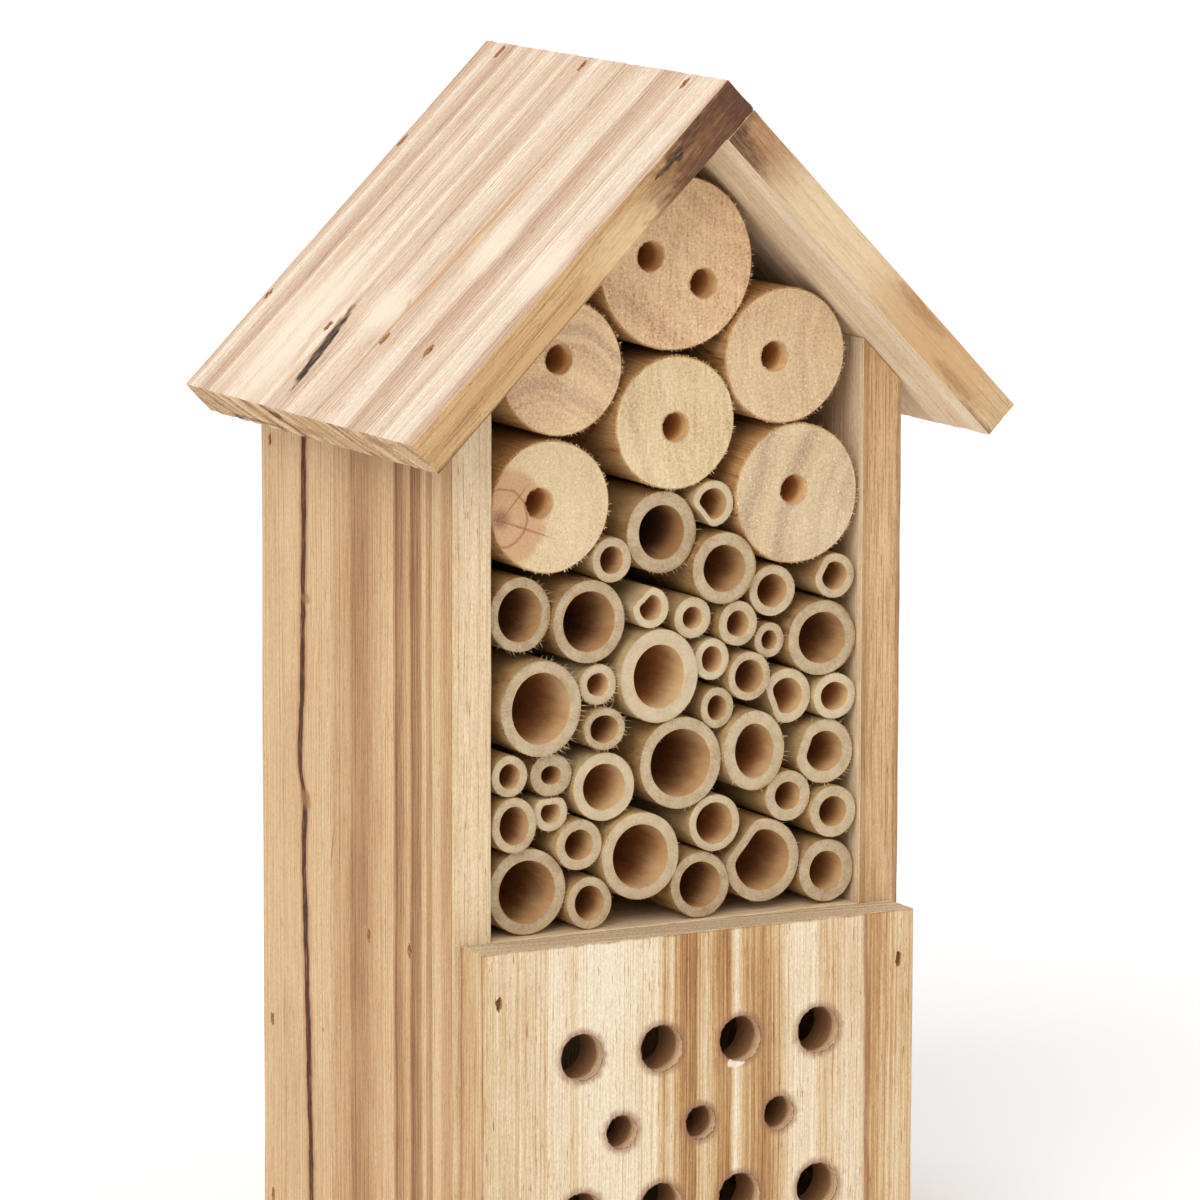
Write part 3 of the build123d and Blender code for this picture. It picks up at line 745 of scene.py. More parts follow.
def resin_streak(tree, place, colour, height):
    """A dark resin streak with a brown halo, kinked at a knot."""
    parts = add_node(tree, "ShaderNodeSeparateXYZ", {0: place}).outputs
    course = add_node(tree, "ShaderNodeFloatCurve", {"Value": sums(tree, "DIVIDE", parts[0], side_height)})
    curve = course.mapping.curves[0]
    points = [(share, across / body_depth) for share, across in streak_course]
    curve.points[0].location, curve.points[1].location = points[0], points[-1]
    for point in points[1:-1]:
        curve.points.new(*point)
    course.mapping.update()
    middle = sums(tree, "MULTIPLY", course.outputs[0], body_depth)
    shake = clouds(tree, stretched(tree, place, 7, 4, 4), 3)
    off = sums(tree, "ADD", sums(tree, "SUBTRACT", parts[1], middle),
               sums(tree, "MULTIPLY_ADD", shake, 1.6, -0.8))
    off = sums(tree, "ABSOLUTE", off)
    halo = reach_over(tree, off, 3.4, 1.2)
    core = reach_over(tree, off, 1.45, 0.75)
    broken = reach_over(tree, clouds(tree, stretched(tree, place, 10, 1, 1), 3), 0.36, 0.5)
    core = sums(tree, "MULTIPLY", core, sums(tree, "MULTIPLY_ADD", broken, 0.3, 0.7))
    colour = stain(tree, colour, halo, linear(164, 112, 68), 0.75)
    colour = stain(tree, colour, core, linear(70, 34, 20), 1.25)
    return colour, sums(tree, "MULTIPLY_ADD", core, -0.8, height)


def side_marks(tree, place, colour, height):
    """The resin streak, its knots, and a few short dark checks."""
    colour, height = resin_streak(tree, place, colour, height)
    for centre, reach, turn in (((68, 76.5, 0), (1.3, 2.0, 20), 0), ((117, 77, 0), (2.2, 3.0, 20), 20),
                                ((33, 52, 0), (5, 0.6, 20), 0), ((127, 62.5, 0), (5, 0.35, 20), 8),
                                ((172, 68, 0), (0.6, 0.6, 20), 0), ((137, 44, 0), (7, 0.3, 20), 0)):
        colour = stain(tree, colour, patch(tree, place, centre, reach, turn, 0.5, 0.9), brown, 0.85)
    return colour, height


side_colours = [(0.0, linear(216, 184, 142)), (0.5, linear(190, 150, 106)), (1.0, linear(138, 94, 58))]
side_left_face = sawn_wood("side_left_face", side_colours, side_bands, 101.0, lean=-0.3, wander=0.7,
                           lines=0.42,
                           threads=0.36, relief=0.28, marks=side_marks, seed=1)
plain_bands = [(0, 0.4), (8, 0.25), (15, 0.5), (24, 0.3), (33, 0.6), (41, 0.3), (52, 0.5), (60, 0.25),
               (71, 0.55),
               (80, 0.3), (90, 0.5), (101, 0.35)]
side_right_face = sawn_wood("side_right_face", side_colours, plain_bands, 101.0, lean=0.5, wander=2.5,
                            relief=0.22,
                            seed=11)
# painted light: the inside faces, shelf, base and back are painted paler than the outer faces, so the dim
# inside looks lit
board_inside_painted_light = sawn_wood("board_inside_painted_light", [(0.0, linear(240, 220, 188)), (0.5, linear(224, 196, 158)),
                                          (1.0, tan)],
                         plain_bands, 101.0, lean=0.6, wander=2.5, seed=13)


def right_front_marks(tree, place, colour, height):
    """Browner long edges on the right board's front edge."""
    colour = stain(tree, colour, patch(tree, place, (110, 0, 10.2), (140, 30, 1.5), ragged=0.5), brown, 0.4)
    colour = stain(tree, colour, patch(tree, place, (110, 0, 0.2), (140, 30, 1.2), ragged=0.6), burnt, 0.35)
    return colour, height


pale_front = [(0.0, linear(230, 208, 174)), (0.5, linear(214, 188, 150)), (1.0, linear(182, 148, 104))]
side_left_front = sawn_wood("side_left_front", pale_front, [(0, 0.5), (4, 0.2), (8, 0.35), (12, 0.25)], 12.0,
                            lean=1.0, wander=0.8, lines=0.3, threads=0.6, seed=15)
tan_front = [(0.0, linear(220, 186, 144)), (0.5, linear(196, 160, 116)), (1.0, linear(150, 108, 70))]
side_right_front = sawn_wood("side_right_front", tan_front, [(0, 0.5), (4, 0.3), (8, 0.5), (12, 0.6)], 12.0,
                             lean=1.0, wander=0.9, lines=0.45, threads=0.65, marks=right_front_marks, seed=17)
print("side finishes are ready; the left board is", round(side_height, 1), "mm high")

# %% [markdown]
# ## Side boards
# Each is a plank standing on its end, its top sawn to the slope of the roof. It is cut along the
# underside of its roof board, which is worked out from the ridge.

# %% Make the side boards
seam = ridge_end + into_right * roof_thickness


def side_board(name, node, outer_x, into, slope_point, slope_normal, materials, seed):
    """One side board with its sloping top and its brad pits."""
    low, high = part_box(node)
    size = ((high.z - low.z) / MM, body_depth, side_thickness / MM)
    matrix = board_matrix(Vector((outer_x, body_front, high.z)), downwards, backwards, into)
    inverse = matrix.inverted()
    point = inverse @ slope_point
    normal = (inverse.to_3x3() @ slope_normal).normalized()
    bm = plank(size, steps=(3.6, 1.0, 1.5), slopes=[(point, normal)], wear=0.5)
    raise_grain(bm, ridges=0.12, threads=0.12, seed=seed)
    slot_faces(bm, size)
    piece = new_piece(name, bm, materials, matrix)
    heads = [head for head in body_heads if head[1].dot(into) < -0.9]
    cut_pits(piece, heads, half_long=1.7, half_wide=0.9, torn=0.4)
    read_grain(piece, matrix)
    settle_piece(piece, node)


side_board("side_left", "side_board_left", left_low.x, to_right, ridge_end, -into_left,
           [side_left_face, side_left_front, board_end, board_inside_painted_light], 1.7)
side_board("side_right", "side_board_right", right_high.x, to_left, seam, -into_right,
           [side_right_face, side_right_front, board_end, board_inside_painted_light], 5.9)

# %% [markdown]
# ## Drilled front panel: finish
# The panel's grain is upright: a cream middle, brown bands to the right of it and a thin dark
# line near the right edge. A blunt drill scorched the rim of each hole. The distance of each
# point from the nearest rim is kept as an attribute, so the scorch follows the holes exactly.

# %% Panel finishes
panel_bands = [(0, 0.35), (16, 0.3), (18, 0.15), (20, 0.08), (24, 0.3), (26, 0.06), (40, 0.0), (42, 0.25),
               (44, 0.12),
               (46.5, 0.2), (48, 0.7), (49.5, 0.25), (52, 0.65), (56, 0.85), (57.5, 0.5), (60, 0.4),
               (62, 0.7),
               (65.5, 0.9), (67, 0.15), (68, 0.2), (70, 0.6), (75, 0.75), (80, 0.5), (83, 0.12), (89, 0.15),
               (91, 0.45), (96, 0.25), (101, 0.3), (102.3, 0.45), (104, 0.7), (110, 0.5), (116, 0.45)]


def panel_marks(tree, place, colour, height):
    """The thin dark line, a scorched left edge, and the scorched rims of the holes."""
    parts = add_node(tree, "ShaderNodeSeparateXYZ", {0: place}).outputs
    shake = clouds(tree, stretched(tree, place, 25, 6, 6), 3)
    line = sums(tree, "MULTIPLY_ADD", shake, 2.6, sums(tree, "MULTIPLY_ADD", parts[0], -0.012, parts[1]))
    line = sums(tree, "ABSOLUTE", sums(tree, "SUBTRACT", line, 104.1))
    colour = stain(tree, colour, reach_over(tree, line, 1.1, 0.2), linear(140, 98, 68), 0.75)
    colour = stain(tree, colour, patch(tree, place, (66, 67.6, 0), (10, 1.0, 20), ragged=0.4), cream, 0.6)
    edge = reach_over(tree, sums(tree, "MULTIPLY_ADD", clouds(tree, stretched(tree, place, 6, 1, 1), 3),
                                 1.0, parts[1]),
                      1.4, 0.5)
    colour = stain(tree, colour, edge, brown, 0.7)
    top = reach_over(tree, sums(tree, "MULTIPLY_ADD", shake, 1.5, parts[0]), 1.5, 0.8)
    colour = stain(tree, colour, top, brown, 0.8)
    rim = kept_value(tree, "rim")
    shade = clouds(tree, stretched(tree, place, 2.2, 1.6, 3), 4, 0.65)
    off = sums(tree, "MULTIPLY_ADD", shade, -2.4, rim)
    colour = stain(tree, colour, reach_over(tree, off, 0.9, -0.9), linear(142, 100, 80), 0.75)
    colour = stain(tree, colour, reach_over(tree, rim, 0.3, 0.1), linear(96, 60, 42), 0.75)
    colour = stain(tree, colour, patch(tree, place, (32.6, 67.5, 0), (1.2, 2.2, 20), ragged=0.5), cream, 0.9)
    return colour, height


panel_colours = [(0.0, linear(234, 218, 192)), (0.35, linear(216, 190, 152)), (0.65, linear(192, 150, 100)),
                 (1.0, linear(140, 92, 52))]
panel_face = sawn_wood("panel_face", panel_colours, panel_bands, 116.0, lean=0.2, wander=0.6, lines=0.5,
                       threads=0.3, relief=0.28, marks=panel_marks, seed=21, hairs=0.5)
panel_side = sawn_wood("panel_side", panel_colours, [(0, 0.9), (2, 0.5), (6, 0.6), (9, 0.5), (12, 0.9)],
                       12.0, lean=1.0, wander=0.6,
                       threads=0.4, seed=23)


def hole_wall(name, light, dark, painted_deep_shade, chatter, attribute, axis, lit):
    """Inside of a drilled hole: torn fibres, drill rings, and painted shade browner beyond the first few
    millimetres.
    """
    material, tree = new_finish(name)
    place = add_node(tree, "ShaderNodeTexCoord").outputs["Object"]
    place = add_node(tree, "ShaderNodeMapping", {"Vector": place, "Scale": (1 / MM,) * 3}).outputs[0]
    rings = clouds(tree, stretched(tree, place, 2.5, chatter, 2.5), 3, 0.6)
    fuzz = clouds(tree, stretched(tree, place, 0.6, 0.6, 0.9), 3, 0.7)
    tone = sums(tree, "MULTIPLY_ADD", fuzz, 0.5, sums(tree, "MULTIPLY", rings, 0.6))
    colour = tones(tree, tone, [(0.3, dark), (0.75, light)])
    inside = kept_value(tree, attribute, "Vector")
    inside = add_node(tree, "ShaderNodeSeparateXYZ", {0: inside}).outputs[axis]
    inside = swung(tree, inside, rings, 3.0)
    # painted shade: past the lit depth the wall takes the darker deep colour, for the shade deep in the hole
    colour = mixed(tree, reach_over(tree, inside, lit * 0.6, lit * 1.3), colour, painted_deep_shade)
    finish_surface(tree, colour, tone, 0.35, 0.85)
    return material


# painted shade: the panel's hole walls darken from about 2 to 4 mm in
panel_hole_wall = hole_wall("panel_hole_wall", linear(234, 206, 166), linear(172, 128, 88),
                            linear(152, 110, 74),
                            chatter=0.5, attribute="grain", axis=2, lit=3.0)
print("panel finishes are ready")

# %% [markdown]
# ## Drilled front panel
# The panel is one more plank, its grain upright. Each hole is cut with a cylinder that has been
# roughened like the path of a real drill: shallow rings inside and a torn mouth. Where the holes
# are comes from the record, which lists them as openings, and their radius from the model's own
# rim points.

# %% Make the panel
def opening_middles(start):
    """Middle of each of the record's openings whose name starts so, in metres."""
    boxes = [entry["box_m"] for entry in record["physics"]["openings"] if entry["name"].startswith(start)]
    return [(Vector(low) + Vector(high)) / 2 for low, high in boxes]


def rim_radius(node, middle):
    """Radius of the round hole at a place: the distance to the node's nearest points."""
    mesh = frame["nodes"][node].data
    return min(math.hypot(v.co.x - middle.x, v.co.z - middle.z) for v in mesh.vertices)


def drill(bm, middle, radius, front, depth, torn, seed, segments=72):
    """The path of a drill from the front, roughened, as one closed cutter in a bmesh."""
    overshoot = 1.0 * MM
    made = bmesh.ops.create_cone(bm, cap_ends=True, segments=segments, radius1=radius, radius2=radius,
                                 depth=depth + overshoot)
    turn = Matrix.Translation((middle.x, front + (depth - overshoot) / 2, middle.z)) @ Matrix.Rotation(
        math.radians(90), 4, "X")
    bmesh.ops.transform(bm, matrix=turn, verts=made["verts"])
    faces = {face for vert in made["verts"] for face in vert.link_faces}
    edges = {edge for face in faces for edge in face.edges}
    geometry = list(faces) + list(edges) + made["verts"]
    for cut in (0.15, 0.5, 1.0, 1.8, 2.7, 3.6, 4.6, 5.7, 6.8, 8.0, 9.5):
        if cut * MM < depth:
            sliced = bmesh.ops.bisect_plane(bm, geom=geometry, plane_co=(0, front + cut * MM, 0),
                                            plane_no=(0, 1, 0))
            geometry = list(set(geometry) | set(sliced["geom"]))
            geometry = [part for part in geometry if part.is_valid]
    for vert in {part for part in geometry if isinstance(part, bmesh.types.BMVert)}:
        x, z, inside = vert.co.x - middle.x, vert.co.z - middle.z, (vert.co.y - front) / MM
        angle = math.atan2(z, x)
        rag = noise.noise(Vector((7 * math.cos(angle), 7 * math.sin(angle), seed)))
        ring = noise.noise(Vector((1.5 * math.cos(angle) + seed, 1.5 * math.sin(angle), inside / 0.8)))
        mouth = max(0.0, 1 - max(0.0, inside) / 0.9)
        scale = 1 + (0.12 * ring + torn * mouth * max(-0.25, rag)) * MM / radius
        vert.co.x, vert.co.z = middle.x + x * scale, middle.z + z * scale


panel_matrix = board_matrix(Vector((panel_low.x, panel_low.y, panel_high.z)), downwards, to_right,
                            backwards)
panel_size = ((panel_high.z - panel_low.z) / MM, (panel_high.x - panel_low.x) / MM,
              (panel_high.y - panel_low.y) / MM)
panel_bm = plank(panel_size, steps=(2.4, 1.0, 1.6), wear=0.45)
raise_grain(panel_bm, ridges=0.1, threads=0.12, seed=4.4)
slot_faces(panel_bm, panel_size)
panel = new_piece("panel", panel_bm, [panel_face, panel_side, board_end, board_inside_painted_light], panel_matrix)
panel_holes = [(middle, rim_radius("front_panel", middle)) for middle in opening_middles("panel_hole")]
drill_bm = bmesh.new()
for number, (middle, radius) in enumerate(panel_holes):
    drill(drill_bm, middle, radius, panel_low.y, panel_high.y - panel_low.y + MM, torn=0.5,
          seed=number * 1.3)
cut_pits(panel, panel_heads, half_long=1.8, half_wide=0.85, torn=0.4)
cut_away(panel, new_piece("drills", drill_bm, [panel_hole_wall]))
read_grain(panel, panel_matrix)
keep_rims(panel, panel_holes)
settle_piece(panel, "front_panel")
print("panel holes, mm:", sorted({round(2 * radius / MM, 1) for middle, radius in panel_holes}))

# %% [markdown]
# ## Shelf, base and back
# These three are inside or behind, so they are plain planks of the inside wood, which is painted
# paler as painted light. The back panel has a sloping top under each roof board, and a shallow
# rebate and a deeper pocket for the hanger.

# %% Make the inner boards
base_low, base_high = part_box("base_board")
for name, node, low, high, seed in (("shelf_wood", "shelf", shelf_low, shelf_high, 2.2),
                                    ("base_wood", "base_board", base_low, base_high, 6.6)):
    matrix = board_matrix(Vector((low.x, low.y, high.z)), to_right, backwards, downwards)
    size = tuple((high[axis] - low[axis]) / MM for axis in range(3))
    bm = plank(size, steps=(6, 2.0, 3.0), wear=0.3)
    raise_grain(bm, ridges=0.08, threads=0.1, seed=seed)
    piece = new_piece(name, bm, [board_inside_painted_light], matrix)
    read_grain(piece, matrix)
    settle_piece(piece, node)

back_low, back_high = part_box("back_panel")
back_matrix = board_matrix(Vector((back_low.x, back_high.y, back_high.z)), downwards, to_right, forwards)
back_inverse = back_matrix.inverted()
slopes = [(back_inverse @ ridge_end, (back_inverse.to_3x3() @ -into_left).normalized()),
          (back_inverse @ seam, (back_inverse.to_3x3() @ -into_right).normalized())]
back_size = ((back_high.z - back_low.z) / MM, (back_high.x - back_low.x) / MM,
             (back_high.y - back_low.y) / MM)
back_bm = plank(back_size, steps=(3.6, 1.4, 2.6), slopes=slopes, wear=0.3)
raise_grain(back_bm, ridges=0.1, threads=0.12, seed=9.1)
back_piece = new_piece("back_wood", back_bm, [board_inside_painted_light], back_matrix)
plate_low, plate_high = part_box("hanger_plate")
plate_middle = (plate_low + plate_high) / 2
plate_room = Vector((0.3, 1.0, 0.3)) * MM      # the rebate's extra size beside and behind the plate
pocket_radius, pocket_depth = 6.5 * MM, 8 * MM
pocket_middle = Vector((plate_middle.x, plate_low.y - 2 * MM, plate_middle.z))
rebate_bm = bmesh.new()
bmesh.ops.create_cube(rebate_bm, size=1)
bmesh.ops.scale(rebate_bm, vec=plate_high - plate_low + plate_room, verts=rebate_bm.verts)
bmesh.ops.translate(rebate_bm, vec=plate_middle + backwards * plate_room.y / 2, verts=rebate_bm.verts)
cut_away(back_piece, new_piece("rebate", rebate_bm, [board_inside_painted_light]))
pocket_bm = bmesh.new()
bmesh.ops.create_cone(pocket_bm, cap_ends=True, segments=40, radius1=pocket_radius, radius2=pocket_radius,
                      depth=pocket_depth)
bmesh.ops.transform(pocket_bm, verts=pocket_bm.verts,
                    matrix=Matrix.Translation(pocket_middle) @ Matrix.Rotation(math.radians(90), 4, "X"))
cut_away(back_piece, new_piece("pocket", pocket_bm, [board_inside_painted_light]))
read_grain(back_piece, back_matrix)
settle_piece(back_piece, "back_panel")

# %% [markdown]
# ## Drilled logs: finish
# Six pieces of branch, cut to length and drilled for bees. A saw leaves their ends pale and
# furry, with a fine speckle, faint growth rings round the pith, and streaks where the blade
# rubbed. One of them shows pink heartwood. The log's own attribute, in millimetres from its
# middle, carries the rings, so one recipe with a few choices serves all six.

# %% Log finishes
def log_place(tree):
    """Place from the middle of the piece's own front end: across, back and up, in millimetres."""
    return kept_value(tree, "own", "Vector")


def log_end(name, light, dark, pith, ring_gap, ring_strength, streaks, seed, heart=0.0):
    """Sawn end of a log; heart is the radius of its pink heartwood, or 0."""
    material, tree = new_finish(name)
    place = log_place(tree)
    from_pith = add_node(tree, "ShaderNodeVectorMath", {0: place, 1: (-pith[0], 0, -pith[1])},
                         operation="ADD").outputs[0]
    flat = add_node(tree, "ShaderNodeVectorMath", {0: from_pith, 1: (1, 0, 1)},
                    operation="MULTIPLY").outputs[0]
    radius = add_node(tree, "ShaderNodeVectorMath", {0: flat}, operation="LENGTH").outputs["Value"]
    seeded = add_node(tree, "ShaderNodeVectorMath", {0: place, 1: (seed, seed, seed)},
                      operation="ADD").outputs[0]
    wavy = sums(tree, "MULTIPLY_ADD", clouds(tree, stretched(tree, seeded, 9, 9, 9), 2), 5.0, radius)
    ring = add_node(tree, "ShaderNodeTexNoise", {"W": sums(tree, "DIVIDE", wavy, ring_gap), "Scale": 1.0,
                                                 "Detail": 2.0}, noise_dimensions="1D").outputs[0]
    speck = clouds(tree, stretched(tree, seeded, 0.8, 1, 0.8), 3, 0.9)
    saw = clouds(tree, stretched(tree, seeded, 0.9, 1, 9), 3, 0.6)
    broad = clouds(tree, stretched(tree, seeded, 14, 14, 14), 2)
    tone = swung(tree, 0.45, ring, ring_strength)
    tone = swung(tree, tone, speck, 2.0)
    tone = swung(tree, tone, saw, streaks)
    tone = swung(tree, tone, broad, 0.6)
    colour = tones(tree, tone, [(0.0, light), (0.55, mix_tones(light, dark, 0.45)), (1.0, dark)])
    cool = sums(tree, "MULTIPLY", reach_over(tree, ring, 0.48, 0.62), min(0.9, ring_strength * 1.2))
    colour = mixed(tree, cool, colour, darkened(tree, colour, linear(242, 240, 250)))
    tuft = clouds(tree, stretched(tree, seeded, 0.62, 1, 0.62), 2, 0.8)
    colour = mixed(tree, reach_over(tree, tuft, 0.58, 0.7, 0.0, 0.75), colour, linear(250, 236, 206))
    height = sums(tree, "MULTIPLY_ADD", speck, 0.7, sums(tree, "MULTIPLY", saw, 0.4))
    height = sums(tree, "MULTIPLY_ADD", tuft, 0.5, height)
    if heart:
        colour = heartwood(tree, seeded, place, radius, heart, colour)
    rim = kept_value(tree, "rim")
    colour = stain(tree, colour, reach_over(tree, rim, 0.7, 0.0), linear(150, 100, 58), 0.55)
    finish_surface(tree, colour, height, 0.55, 0.88)
    return material


def mix_tones(first, second, share):
    """A colour part of the way between two others."""
    return tuple(a + (b - a) * share for a, b in zip(first, second))


def heartwood(tree, seeded, place, radius, heart, colour):
    """Pink heartwood with an uneven edge, a brown pith, one clear ring and a drying crack."""
    edge = sums(tree, "MULTIPLY_ADD", clouds(tree, stretched(tree, seeded, 4, 4, 4), 4, 0.65), 6.0, radius)
    colour = stain(tree, colour, reach_over(tree, edge, heart + 5.0, heart + 2.2), linear(202, 152, 110), 0.8)
    ring = sums(tree, "MULTIPLY_ADD", clouds(tree, stretched(tree, seeded, 4, 4, 4), 2), 1.4, radius)
    ring = sums(tree, "ABSOLUTE", sums(tree, "SUBTRACT", ring, heart * 0.63 + 0.7))
    colour = stain(tree, colour, reach_over(tree, ring, 0.45, 0.1), linear(156, 98, 66), 0.7)
    colour = stain(tree, colour, reach_over(tree, radius, 3.6, 0.5), linear(134, 88, 70), 0.8)
    for centre, reach, turn in (((-7, 0, -4.6), (7.5, 40, 0.28), 20), ((-9, 0, 2), (5, 40, 0.2), -48),
                                ((-15, 0, -6.5), (4.5, 40, 0.2), 70)):
        crack = patch(tree, place, centre, reach, turn, 0.3, 0.8, upright=True)
        colour = stain(tree, colour, crack, linear(160, 98, 66), 0.75)
    return colour


log_skin = sawn_wood("log_skin", [(0.0, linear(216, 178, 126)), (0.5, linear(196, 150, 98)),
                                  (1.0, linear(158, 108, 66))],
                     [(0, 0.4), (30, 0.6), (60, 0.3)], 60.0, wander=9.0, lines=0.5, threads=0.5, relief=0.3,
                     seed=31)
# painted shade: the log holes' walls darken from about 2.4 to 5.2 mm in
log_hole_wall = hole_wall("log_hole_wall", linear(248, 212, 156), linear(206, 152, 96), linear(204, 146, 88),
                          chatter=0.7, attribute="own", axis=1, lit=4.0)
warm_light, warm_dark = linear(246, 214, 172), linear(172, 122, 78)
pale_light, pale_dark = linear(230, 204, 166), linear(176, 136, 96)
# for each log: pale tone, dark tone, pith, ring gap, ring strength, saw streaks, seed, heartwood
log_looks = {
    "log_top": (warm_light, warm_dark, (30, 40), 5.0, 0.3, 0.9, 3.0, 0.0),
    "log_left": (warm_light, mix_tones(warm_dark, pale_dark, 0.5), (-6, -22), 4.5, 0.75, 0.3, 17.0, 0.0),
    "log_right": (pale_light, pale_dark, (40, 0), 5.0, 0.35, 0.5, 29.0, 0.0),
    "log_centre": (linear(236, 214, 174), linear(180, 142, 92), (40, 10), 4.0, 0.3, 0.9, 41.0, 0.0),
    "log_lower_left": (linear(236, 214, 176), linear(190, 156, 108), (-13, -2), 6.0, 0.3, 0.3, 53.0, 11.0),
    "log_lower_right": (linear(224, 202, 166), linear(172, 142, 102), (60, -20), 5.0, 0.6, 0.4, 67.0, 0.0),
}
print("log finishes for", len(log_looks), "logs")

# %% [markdown]
# ## Drilled logs
# A cut branch is nearly round, its edge slightly furry from the saw. Each starts as a cylinder the
# size of its box; rings are cut near its front so that the rim can be worn and the face made a
# little uneven, and then the holes are drilled. The holes belong to whichever log they lie in.

# %% Log and cane helpers
def round_bar(low, high, segments, cuts, wobble, seed):
    """A nearly round bar lying front to back, filling its box, its front rim worn."""
    bm = bmesh.new()
    middle, size = (low + high) / 2, high - low
    bmesh.ops.create_cone(bm, cap_ends=True, segments=segments, radius1=0.5, radius2=0.5, depth=1)
    turn = Matrix.Translation(middle) @ Matrix.Diagonal((size.x, size.y, size.z, 1)) @ Matrix.Rotation(
        math.radians(90), 4, "X")
    bmesh.ops.transform(bm, matrix=turn, verts=bm.verts)
    front = [face for face in bm.faces if face.normal.y < -0.9]
    for share in (0.015, 0.04, 0.09, 0.15):
        bmesh.ops.inset_region(bm, faces=front, thickness=share * size.x, depth=0,
                                       use_even_offset=True)
        front = [face for face in front if face.is_valid]
    steps = range(-16, 17, 2)
    for normal in (to_right, upwards):
        for step in steps:
            part = front + list({edge for face in front for edge in face.edges})
            part += list({vert for face in front for vert in face.verts})
            sliced = bmesh.ops.bisect_plane(bm, geom=part, plane_co=middle + normal * step * MM,
                                            plane_no=normal)
            front = [face for face in set(front + sliced["geom"]) if isinstance(face, bmesh.types.BMFace)
                     and face.is_valid]
    for cut in cuts:
        sliced_through(bm, (0, low.y + cut * MM, 0), backwards)
    for vert in bm.verts:
        x, z, inside = vert.co.x - middle.x, vert.co.z - middle.z, (vert.co.y - low.y) / MM
        angle, out = math.atan2(z, x), math.hypot(x, z) / (size.x / 2)
        swell = noise.noise(Vector((1.3 * math.cos(angle), 1.3 * math.sin(angle), inside / 40 + seed)))
        fur = noise.noise(Vector((14 * math.cos(angle), 14 * math.sin(angle), inside * 2 + seed)))
        if out > 0.95:
            worn = max(0.0, 1 - inside / 0.5) * 0.35
            torn = (0.10 * fur - worn) * (1 if inside < 1 else 0.3)
            scale = 1 + (wobble * (swell - 0.35) + torn) * MM / (size.x / 2)
            vert.co.x, vert.co.z = middle.x + x * scale, middle.z + z * scale
        if inside < 0.01:
            vert.co.y += (0.12 * fur + 0.15) * MM * (1 if out > 0.95 else 0.5)
    return bm, middle


def splinter(bm, root, direction, length, width, slot):
    """One thin sliver of fibre standing on a rim."""
    made = bmesh.ops.create_cone(bm, cap_ends=True, segments=3, radius1=width, radius2=width * 0.15,
                                 depth=length)["verts"]
    along = direction.to_track_quat("Z", "Y").to_matrix().to_4x4()
    turn = Matrix.Translation(root + direction * length * 0.45) @ along
    bmesh.ops.transform(bm, matrix=turn, verts=made)
    for face in {face for vert in made for face in vert.link_faces}:
        face.material_index = slot


def furry_rim(piece, middle, radius, count, lean, slot, dice):
    """Short torn fibres standing round a sawn or drilled rim; lean is 1 outwards and -1 inwards."""
    bm = bmesh.new()
    bm.from_mesh(piece.data)
    for number in range(count):
        angle = dice.uniform(-math.pi, math.pi)
        out = Vector((math.cos(angle), 0, math.sin(angle)))
        root = middle + out * (radius - lean * 0.25 * MM) + Vector((0, 0.3 * MM, 0))
        direction = (out * lean * dice.uniform(0.2,
                                               1.0) + Vector((0, -dice.uniform(0.3, 1.0), 0))).normalized()
        direction = (direction + out.cross(backwards) * dice.uniform(-0.6, 0.6)).normalized()
        splinter(bm, root, direction, dice.uniform(0.3, 0.95) * MM, dice.uniform(0.06, 0.14) * MM, slot)
    bm.to_mesh(piece.data)
    bm.free()


def own_place(piece, front_middle):
    """Keep each point's place from the middle of its own front end, in millimetres."""
    keep_place(piece, "own", lambda co: (co - front_middle) / MM)


# %% Make the logs
log_hole_depth = 60 * MM
widest_log_hole = 3.5 * MM
log_holes = opening_middles("log_hole")
for count, (node, look) in enumerate(log_looks.items()):
    low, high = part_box(node)
    bm, middle = round_bar(low, high, segments=96, cuts=(0.4, 1.2, 3, 7, 14, 28, 50), wobble=0.35,
                           seed=count * 5.3)
    for face in bm.faces:
        face.material_index = 1 if face.normal.y < -0.7 else 0
    ends = log_end(node + "_end", *look)
    piece = new_piece(node + "_wood", bm, [log_skin, ends])
    holes = [(hole, min(rim_radius(node, hole), widest_log_hole)) for hole in log_holes
             if math.hypot(hole.x - middle.x, hole.z - middle.z) < (high.x - low.x) / 2]
    drill_bm = bmesh.new()
    for number, (hole, radius) in enumerate(holes):
        drill(drill_bm, hole, radius, low.y, log_hole_depth, torn=0.6, seed=count * 2.1 + number, segments=56)
    cut_away(piece, new_piece("drills", drill_bm, [log_hole_wall]))
    dice = random.Random(count)
    front_middle = Vector((middle.x, low.y, middle.z))
    furry_rim(piece, front_middle, (high.x - low.x) / 2, count=150, lean=1, slot=1,
              dice=dice)
    for hole, radius in holes:
        furry_rim(piece, Vector((hole.x, low.y, hole.z)), radius, count=16, lean=-1, slot=1, dice=dice)
    own_place(piece, front_middle)
    read_grain(piece, board_matrix(front_middle, backwards, to_right, upwards))
    keep_rims(piece, holes)
    settle_piece(piece, node)
